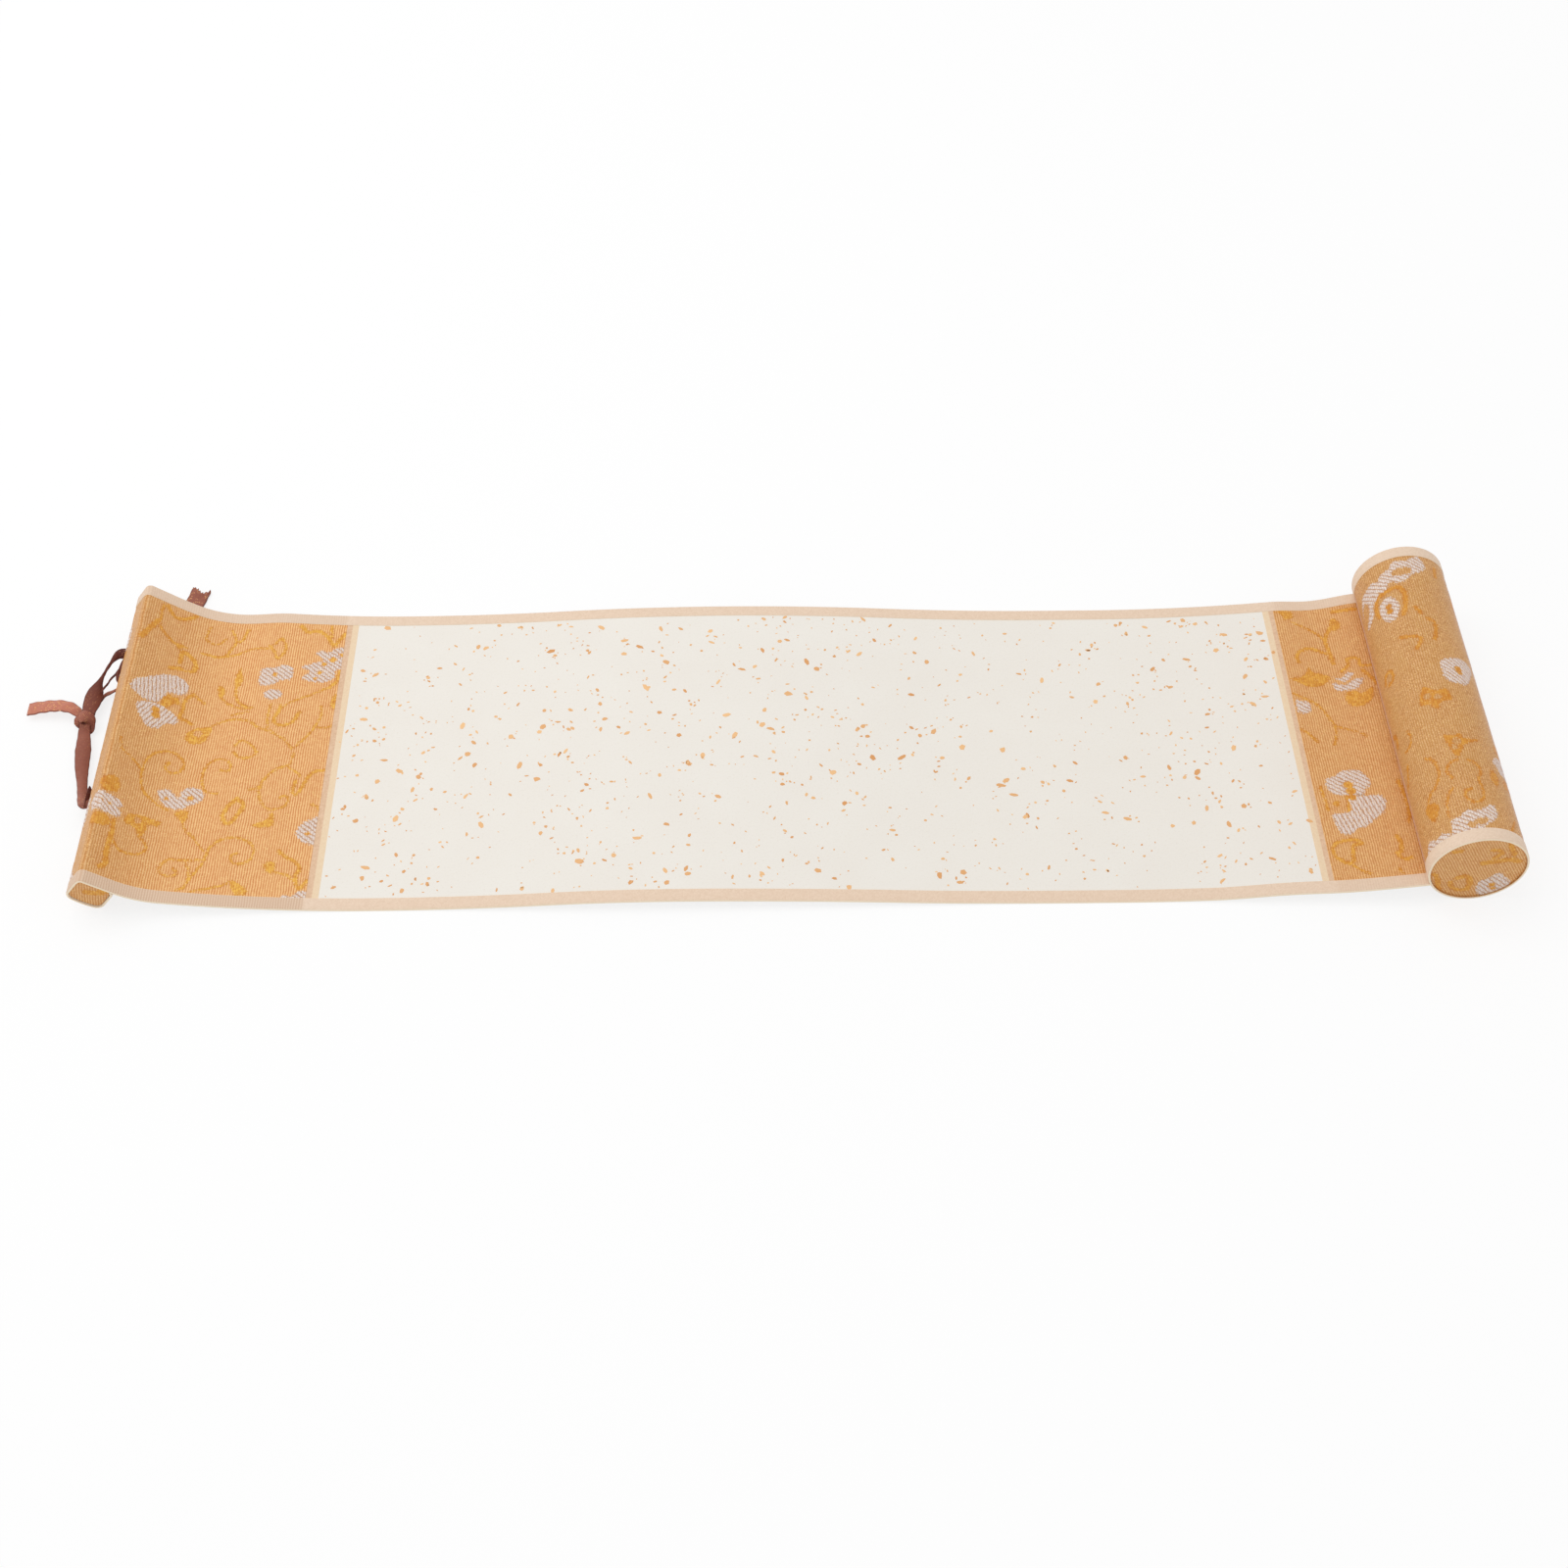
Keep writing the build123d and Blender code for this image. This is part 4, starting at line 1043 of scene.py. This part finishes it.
def ribbon_mesh(line, stations, notch):
    """A flat ribbon along a line, with a notch of a given depth torn into its far end."""
    stops = measured(line) / MM
    length = stops[-1]
    mesh = flat_grid(
        steps_between(0.0, length, RIBBON_STEP), steps_between(-0.5, 0.5, RIBBON_SHARE_STEP)
    )
    places = flat_places(mesh)
    flat = places[:, :2] * (1.0, RIBBON_WIDTH)
    offset = places[:, 1].copy()
    torn = notch * (1 - 2 * np.abs(offset - TORN_MIDDLE)) + 0.25 * notch * np.sin(offset * 40.0)
    torn_share = np.clip((places[:, 0] - length + TORN_REACH) / TORN_REACH, 0, 1)
    distances = places[:, 0] - np.maximum(torn, 0.0) * torn_share

    def on_line(stretch):
        """The places on the line at distances along it."""
        return np.stack([np.interp(stretch, stops, line[:, n]) for n in range(3)], 1)

    heading = unit_rows(on_line(distances + HEADING_REACH) - on_line(distances - HEADING_REACH))
    side = unit_rows(np.cross(heading, (0.0, 0.0, 1.0)))
    face = np.cross(side, heading)
    table = np.array(stations)
    values = (np.interp(distances / length, table[:, 0], table[:, n]) for n in range(1, 6))
    width, lean, cup, shade, painted_glints = values
    lean = np.radians(lean)[:, None]
    across = side * np.cos(lean) + face * np.sin(lean)
    upward = face * np.cos(lean) - side * np.sin(lean)
    arch = cup * (0.5 - 4 * offset**2)
    ripple = RIBBON_RIPPLE * np.sin(distances * 1.7 + offset * 3.0)
    places = on_line(distances) / MM + across * (offset * width)[:, None]
    places += upward * (arch + ripple)[:, None]
    places[:, 2] = np.maximum(places[:, 2], RIBBON_THICKNESS / 2 + RIBBON_CLEARANCE)
    move_to(mesh, places * MM)
    keep_flat_map(mesh, flat)
    keep_values(mesh, "shade", shade)
    keep_values(mesh, "painted_glints", painted_glints)
    return mesh


def add_ribbon(name, route, stations, replaced=(), notch=0.0):
    """A piece of ribbon with its thickness, and its line."""
    line = spline_line(route)
    piece = add_piece(name, ribbon_mesh(line, stations, notch), ribbon_satin, replaced)
    return thicken(piece, RIBBON_THICKNESS, offset=0.0), line


knot = add_ribbon("tied_knot", KNOT_ROUTE, KNOT_STATIONS, ["tie_knot"])[0]
near_ribbon, near_line = add_ribbon(
    "near_ribbon", NEAR_ROUTE, NEAR_STATIONS, ["tie_near_strand", "tie_back_tail"], notch=2.4
)
far_ribbon, far_line = add_ribbon(
    "far_ribbon", FAR_ROUTE, FAR_STATIONS, ["tie_far_strand", "tie_left_tail"]
)
side_strands = [add_ribbon(name, *parts)[0] for name, parts in SIDE_STRANDS.items()]
shaded_slit_strand = side_strands.pop()

# The sheets that lie along the scroll: how far apart their vertices are and how thick
# they are. The brocade is coarser past SEEN_WRAP round the stave and past SEEN_TURN
# round the roller.
INNER_HALF = HALF_WIDTH - 0.15
FINE = 0.5
STRIP_STEP = 0.6
COARSE = 1.0
PANEL_STEP = 1.5
BACKING_STEP = 3.0
PANEL_THICKNESS = 0.18
WRAP_THICKNESS = 0.5
BACKING_THICKNESS = 0.33
STRIP_THICKNESS = 0.13
PATCH_THICKNESS = 0.2
SEEN_WRAP = -10.0
SEEN_TURN = 46.0


def rows_across(step):
    """Evenly spaced places from the sheet's front edge to its back edge."""
    return steps_between(-INNER_HALF, INNER_HALF, step)


def lay_piece(name, mesh, lay, height, material, replaced, thickness):
    """A piece with crisp edges, its top face laid at a height along the scroll."""
    lay_mesh(mesh, lay, height)
    return thicken(crisp(add_piece(name, mesh, material, replaced)), thickness)


def tell_sheet(piece, length, **others):
    """Works out a sheet's flat length in metres, and keeps nothing of it."""
    length * MM


laid = {}
for name, start, end, material, slot in (
    ("paper_panel", PAPER_START, PAPER_END, paper, "writing_paper"),
    ("head_cream_line", HEAD_BAND_END, PAPER_START, cream_silk, "cream_silk"),
    ("tail_cream_line", PAPER_END, TAIL_LINE_END, cream_silk, "cream_silk"),
    ("head_cross_band", HEAD_BROCADE_END, HEAD_BAND_END, band_silk, "edge_silk"),
    ("tail_cross_band", TAIL_LINE_END, TAIL_BAND_END, band_silk, "edge_silk"),
):
    mesh = flat_grid(steps_between(start, end, PANEL_STEP), rows_across(PANEL_STEP))
    laid[name] = lay_piece(
        f"laid_{name}", mesh, lay_on_sheet, PANEL_TOP, material, [name], PANEL_THICKNESS
    )

# Each brocade: its name, its node, its columns, where its yarn is worn and darkened by
# painted shade and how much, its patterns with their shifts, how it is laid and its thickness.
for name, node, columns, worn_and_shade, patterns, lay, thickness in (
    (
        "woven_head_brocade",
        "head_brocade",
        steps_between(STAVE_TURN, SEEN_WRAP, COARSE)[:-1] + steps_between(SEEN_WRAP, HEAD_BROCADE_END, FINE),
        ([-4.0, 2.0, 12.0, 32.0], [0.85, 0.65, 0.45, 0.0]),
        [(HEAD_PATTERN, 0.0), (HEAD_PATTERN, -72.0)],
        lay_on_sheet,
        PANEL_THICKNESS,
    ),
    (
        "woven_tail_brocade",
        "tail_brocade",
        steps_between(TAIL_BAND_END, SHEET_END, FINE),
        ([SHEET_END - 6, SHEET_END], [0.45, 0.7]),
        [(TAIL_PATTERN, 0.0)],
        lay_on_sheet,
        PANEL_THICKNESS,
    ),
    (
        "woven_roller_wrap",
        "tail_brocade",
        steps_between(0.0, SEEN_TURN, FINE) + steps_between(SEEN_TURN, ROLLER_TURN, COARSE)[1:],
        ([0.0, 12.0, ROLLER_TURN], [0.8, 0.95, 0.95]),
        [(ROLLER_PATTERN, 0.0), (HEAD_PATTERN, 43.5)],
        lay_on_roller,
        WRAP_THICKNESS,
    ),
):
    mesh = flat_grid(columns, rows_across(FINE))
    weave_cloth(mesh, patterns, np.interp(flat_places(mesh)[:, 0], *worn_and_shade))
    cloth = lay_piece(name, mesh, lay, PANEL_TOP, brocade, [node], thickness)
    tell_sheet(cloth, columns[-1] - columns[0])

mesh = flat_grid(steps_between(STAVE_TURN, SHEET_END, COARSE), rows_across(BACKING_STEP))
backing = lay_piece(
    "pasted_backing", mesh, lay_on_sheet, BACKING_TOP, backing_paper,
    ["backing_sheet"], BACKING_THICKNESS,
)
tell_sheet(backing, SHEET_END - STAVE_TURN)

# The edge strips: their section runs from the folded inner edge out and down the side.
STRIP_SECTION = np.array([
    (0.0, HALF_WIDTH - STRIP_WIDTH, PANEL_TOP + 0.02),
    (0.12, HALF_WIDTH - STRIP_WIDTH + 0.05, STRIP_TOP - 0.02),
    (0.4, HALF_WIDTH - STRIP_WIDTH + 0.35, STRIP_TOP),
    (3.9, HALF_WIDTH - 0.4, STRIP_TOP),
    (4.15, HALF_WIDTH - 0.15, STRIP_TOP - 0.06),
    (4.35, HALF_WIDTH, STRIP_TOP - 0.22),
    (4.95, HALF_WIDTH, 0.05),
])
# Where the brocade under the strips ends at the paper, since its ribs show through them.
BROCADE_ENDS = [HEAD_BROCADE_END - 1, HEAD_BROCADE_END, TAIL_BAND_END, TAIL_BAND_END + 1]


def add_strip(name, node, side, columns, lay):
    """A length of edge strip laid over the cloth and down the side of the layers."""
    stops, reach, rise = STRIP_SECTION.T
    mesh = flat_grid(columns, stops)
    places = flat_places(mesh)
    shown = [0.9 if side < 0 else 0.4, 0.0, 0.0, 0.3]
    through = np.interp(places[:, 0], BROCADE_ENDS, shown) * (lay is lay_on_sheet)
    keep_values(mesh, "cloth_below", through)
    places[:, 2] = np.interp(places[:, 1], stops, rise)
    places[:, 1] = side * np.interp(places[:, 1], stops, reach)
    move_to(mesh, places)
    if side < 0:
        mesh.flip_normals()
    laid[name] = lay_piece(name, mesh, lay, 0.0, strip_silk, [node], STRIP_THICKNESS)


for side, edge in ((-1, "front"), (1, "back")):
    for part, start, end, lay in (
        ("strip", STAVE_TURN, SHEET_END, lay_on_sheet),
        ("roller_strip", 0.0, ROLLER_TURN, lay_on_roller),
    ):
        columns = steps_between(start, end, STRIP_STEP)
        add_strip(f"laid_{edge}_{part}", f"{edge}_edge_strip", side, columns, lay)

# The patches over the rods' ends: how many corners and rings they have and how close together
# the rings lie towards the edge, how far in a patch is sunk, where its edge begins to turn down
# and by how much, how worn and darkened by painted shade it is and how much more of the gold shows.
DISC_CORNERS = 120
STAVE_CORNERS = 96
PATCH_RINGS = 30
PATCH_CLOSING = 0.8
PATCH_SINK = 0.1
PATCH_TURN_DOWN = 0.93
PATCH_DROP = 0.15
PATCH_WORN_AND_SHADE = 0.6
PATCH_GOLD = 0.15
JOIN_DISTANCE = 0.002


def cap_mesh(outline, pattern, weave_angle, side):
    """A patch of brocade over a rod's end: rings from its middle out to its outline."""
    middle = outline.mean(axis=0)
    rings = list(np.linspace(0.0, 1.0, PATCH_RINGS) ** PATCH_CLOSING)
    mesh = flat_grid(rings, list(range(len(outline))))
    places = flat_places(mesh)
    local = (outline[np.rint(places[:, 1]).astype(int)] - middle) * places[:, :1]
    pale, gold, hatch = woven_pattern(local * (-side, 1.0), pattern)
    angle = math.radians(weave_angle)
    turned = np.array([[math.cos(angle), -math.sin(angle)], [math.sin(angle), math.cos(angle)]])
    keep_flat_map(mesh, local @ turned)
    edge = np.clip((places[:, 0] - PATCH_TURN_DOWN) / (1 - PATCH_TURN_DOWN), 0, 1) ** 2
    finish_weave(mesh, places, pale, gold + PATCH_GOLD, hatch, np.full(len(places), PATCH_WORN_AND_SHADE))
    raised = flat_places(mesh)[:, 2]
    outward = side * (CAP_FACE - PATCH_SINK + raised - PATCH_DROP * edge)
    spread = middle + local
    move_to(mesh, np.stack([spread[:, 0], outward, spread[:, 1]], 1) * MM)
    close_rings(mesh, side)
    return mesh


def close_rings(mesh, side):
    """Joins the rings' seam and middle, and turns the faces outwards."""
    shape = bmesh.new()
    shape.from_mesh(mesh)
    bmesh.ops.remove_doubles(shape, verts=shape.verts, dist=JOIN_DISTANCE * MM)
    if sum(face.normal.y * face.calc_area() for face in shape.faces) * side < 0:
        bmesh.ops.reverse_faces(shape, faces=shape.faces)
    shape.to_mesh(mesh)
    shape.free()


round_turns = np.radians(np.linspace(0, 360, DISC_CORNERS + 1))
disc_outline = np.stack([np.cos(round_turns), np.sin(round_turns)], 1) * ROLLER_ROD_RADIUS
disc_outline += (ROLLER_X, ROLLER_RADIUS)
stave_outline = np.vstack([stave_base[:, :2], stave_base[:1, :2]])
stops = measured(stave_outline)
evenly = np.linspace(0, stops[-1], STAVE_CORNERS + 1)
stave_outline = np.stack([np.interp(evenly, stops, stave_outline[:, n]) for n in (0, 1)], 1)
for side, edge in ((-1, "front"), (1, "back")):
    for rod, outline, pattern, weave_angle in (
        ("roller", disc_outline, DISC_PATTERN, 30),
        ("stave", stave_outline, STAVE_END_PATTERN, -12),
    ):
        mesh = cap_mesh(outline, pattern, weave_angle, side)
        patch = add_piece(f"{rod}_{edge}_patch", mesh, brocade, [f"{rod}_{edge}_cap"])
        thicken(crisp(patch), PATCH_THICKNESS)

# Gold flakes sprinkled over the paper, some of them with smaller ones near them, and
# finer dust.
FLAKE_SEED = 11
FLAKE_GROUPS = 640
DUST_SPECKS = 520
FLAKE_SIZES = (0.3, 0.38, 0.46, 0.55, 0.65, 0.8, 1.0)
NEIGHBOUR_COUNTS = (0, 0, 0, 1, 1, 2)
NEIGHBOUR_DISTANCE = (1.5, 4.5)
NEIGHBOUR_SIZE = (0.22, 0.5)
DUST_SIZE = (0.16, 0.32)
FLAKE_HALF = 55.0
FLAKE_RISE = 0.03


def flake_places():
    """Random places and sizes of the flakes, their neighbours and the dust."""
    places = []
    for _ in range(FLAKE_GROUPS):
        x = random.uniform(PAPER_START - 1.0, PAPER_END + 1.0)
        y = random.uniform(-FLAKE_HALF, FLAKE_HALF)
        size = random.choice(FLAKE_SIZES)
        places.append((x, y, size * random.uniform(0.85, 1.2)))
        for _ in range(random.choice(NEIGHBOUR_COUNTS)):
            turn = random.uniform(0, 2 * math.pi)
            away = random.uniform(*NEIGHBOUR_DISTANCE)
            size = random.uniform(*NEIGHBOUR_SIZE)
            near = (x + away * math.cos(turn), y + away * math.sin(turn), size)
            if PAPER_START < near[0] < PAPER_END and abs(near[1]) < FLAKE_HALF:
                places.append(near)
    for _ in range(DUST_SPECKS):
        x = random.uniform(PAPER_START + 0.5, PAPER_END - 0.5)
        places.append((x, random.uniform(-FLAKE_HALF, FLAKE_HALF), random.uniform(*DUST_SIZE)))
    return places


def flakes_mesh():
    """Thin uneven flakes of five to seven corners."""
    random.seed(FLAKE_SEED)
    shape = bmesh.new()
    tones = shape.verts.layers.float.new("tone")
    for x, y, size in flake_places():
        corners = random.choice((5, 6, 7))
        ring = bmesh.ops.create_circle(shape, cap_ends=True, radius=1.0, segments=corners)
        stretch = random.uniform(1.0, 1.6)
        turn = random.uniform(0, math.pi)
        tone = random.random()
        for vertex in ring["verts"]:
            reach = size * random.uniform(0.7, 1.15)
            along = vertex.co.x * reach * stretch
            across = vertex.co.y * reach / stretch
            vertex.co.x = x + along * math.cos(turn) - across * math.sin(turn)
            vertex.co.y = y + along * math.sin(turn) + across * math.cos(turn)
            vertex[tones] = tone
    mesh = bpy.data.meshes.new("gold_flakes")
    shape.to_mesh(mesh)
    shape.free()
    keep_flat_map(mesh, flat_places(mesh)[:, :2])
    return mesh


flake_top = PANEL_TOP + FLAKE_RISE
laid["gold_flakes"] = lay_piece(
    "gold_flakes", flakes_mesh(), lay_on_sheet, flake_top, flake, (), FLAKE_RISE
)
paper_sheet = laid.pop("paper_panel")
tell_sheet(paper_sheet, PAPER_END - PAPER_START, with_pieces=list(laid.values()))

for name in ("stave_rod", "roller_rod"):
    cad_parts[name].data.materials.clear()
    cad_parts[name].data.materials.append(rod_wood)

# The floor, the light and the camera. The floor, the lamp and the clip distances are in
# metres, the camera's place in millimetres.
SKY_LIGHT = 0.7
FLOOR_WHITE = 0.8
FLOOR_HALF = 3.0
LAMP_SIZE = (1.4, 1.0)
LAMP_POWER = 6.6
LAMP_PLACE = (-0.55, 0.3, 1.2)
LAMP_TILT = (-14, -24, 0)
CAMERA_PLACE = (-13.8, -430.3, 508.5)
CAMERA_PITCH = 50.618
CAMERA_YAW = 1.432
CAMERA_ROLL = 0.523
CAMERA_CLIP = (0.05, 20.0)
SENSOR_WIDTH = 36.0
FOCAL_PIXELS = 2162.9
FRAME_PIXELS = 1600
WHITE = (1.0, 1.0, 1.0, 1.0)


def seen_rays(tree):
    """1 for the rays that see a white background, and 0 for those that carry light."""
    rays = add_node(tree, "ShaderNodeLightPath")
    seen = maths("MAXIMUM", Signal(rays, "Is Camera Ray"), Signal(rays, "Is Glossy Ray"))
    return maths("MAXIMUM", seen, Signal(rays, "Is Transmission Ray"))


floor_material, _ = new_material("floor", 0.9, specular=0.0)
floor_tree = floor_material.node_tree
floor_shader = floor_tree.nodes["Principled BSDF"]
floor_shader.inputs["Base Color"].default_value = WHITE
floor_parts = {
    0: seen_rays(floor_tree) * FLOOR_WHITE,
    1: Signal(floor_shader),
    2: Signal(add_node(floor_tree, "ShaderNodeEmission")),
}
floor_mix = add_node(floor_tree, "ShaderNodeMixShader", floor_parts)
floor_tree.links.new(floor_mix.outputs[0], floor_tree.nodes["Material Output"].inputs[0])
floor = add_object("floor", flat_grid([-FLOOR_HALF, FLOOR_HALF], [-FLOOR_HALF, FLOOR_HALF]))
floor.data.materials.append(floor_material)

scene = bpy.context.scene
scene.world = bpy.data.worlds.new("studio")
scene.world.use_nodes = True
sky_tree = scene.world.node_tree
sky = sky_tree.nodes["Background"]
sky.inputs["Color"].default_value = WHITE
sky_strength = seen_rays(sky_tree) * (1.0 - SKY_LIGHT) + SKY_LIGHT
sky_tree.links.new(sky_strength.socket, sky.inputs["Strength"])
scene.view_settings.view_transform = "Standard"

lamp_data = bpy.data.lights.new("soft_box", "AREA")
lamp_data.shape = "RECTANGLE"
lamp_data.size, lamp_data.size_y = LAMP_SIZE
lamp_data.energy = LAMP_POWER
lamp = add_object("soft_box", lamp_data)
lamp.location = LAMP_PLACE
lamp.rotation_euler = [math.radians(angle) for angle in LAMP_TILT]

camera_data = bpy.data.cameras.new("camera")
camera_data.sensor_width = SENSOR_WIDTH
camera_data.lens = FOCAL_PIXELS / FRAME_PIXELS * SENSOR_WIDTH
camera_data.clip_start, camera_data.clip_end = CAMERA_CLIP
camera = add_object("camera", camera_data)
turn = (
    Matrix.Rotation(math.radians(-CAMERA_YAW), 4, "Z")
    @ Matrix.Rotation(math.radians(90 - CAMERA_PITCH), 4, "X")
    @ Matrix.Rotation(math.radians(CAMERA_ROLL), 4, "Z")
)
camera.matrix_world = Matrix.Translation(Vector(CAMERA_PLACE) * MM) @ turn
scene.camera = camera
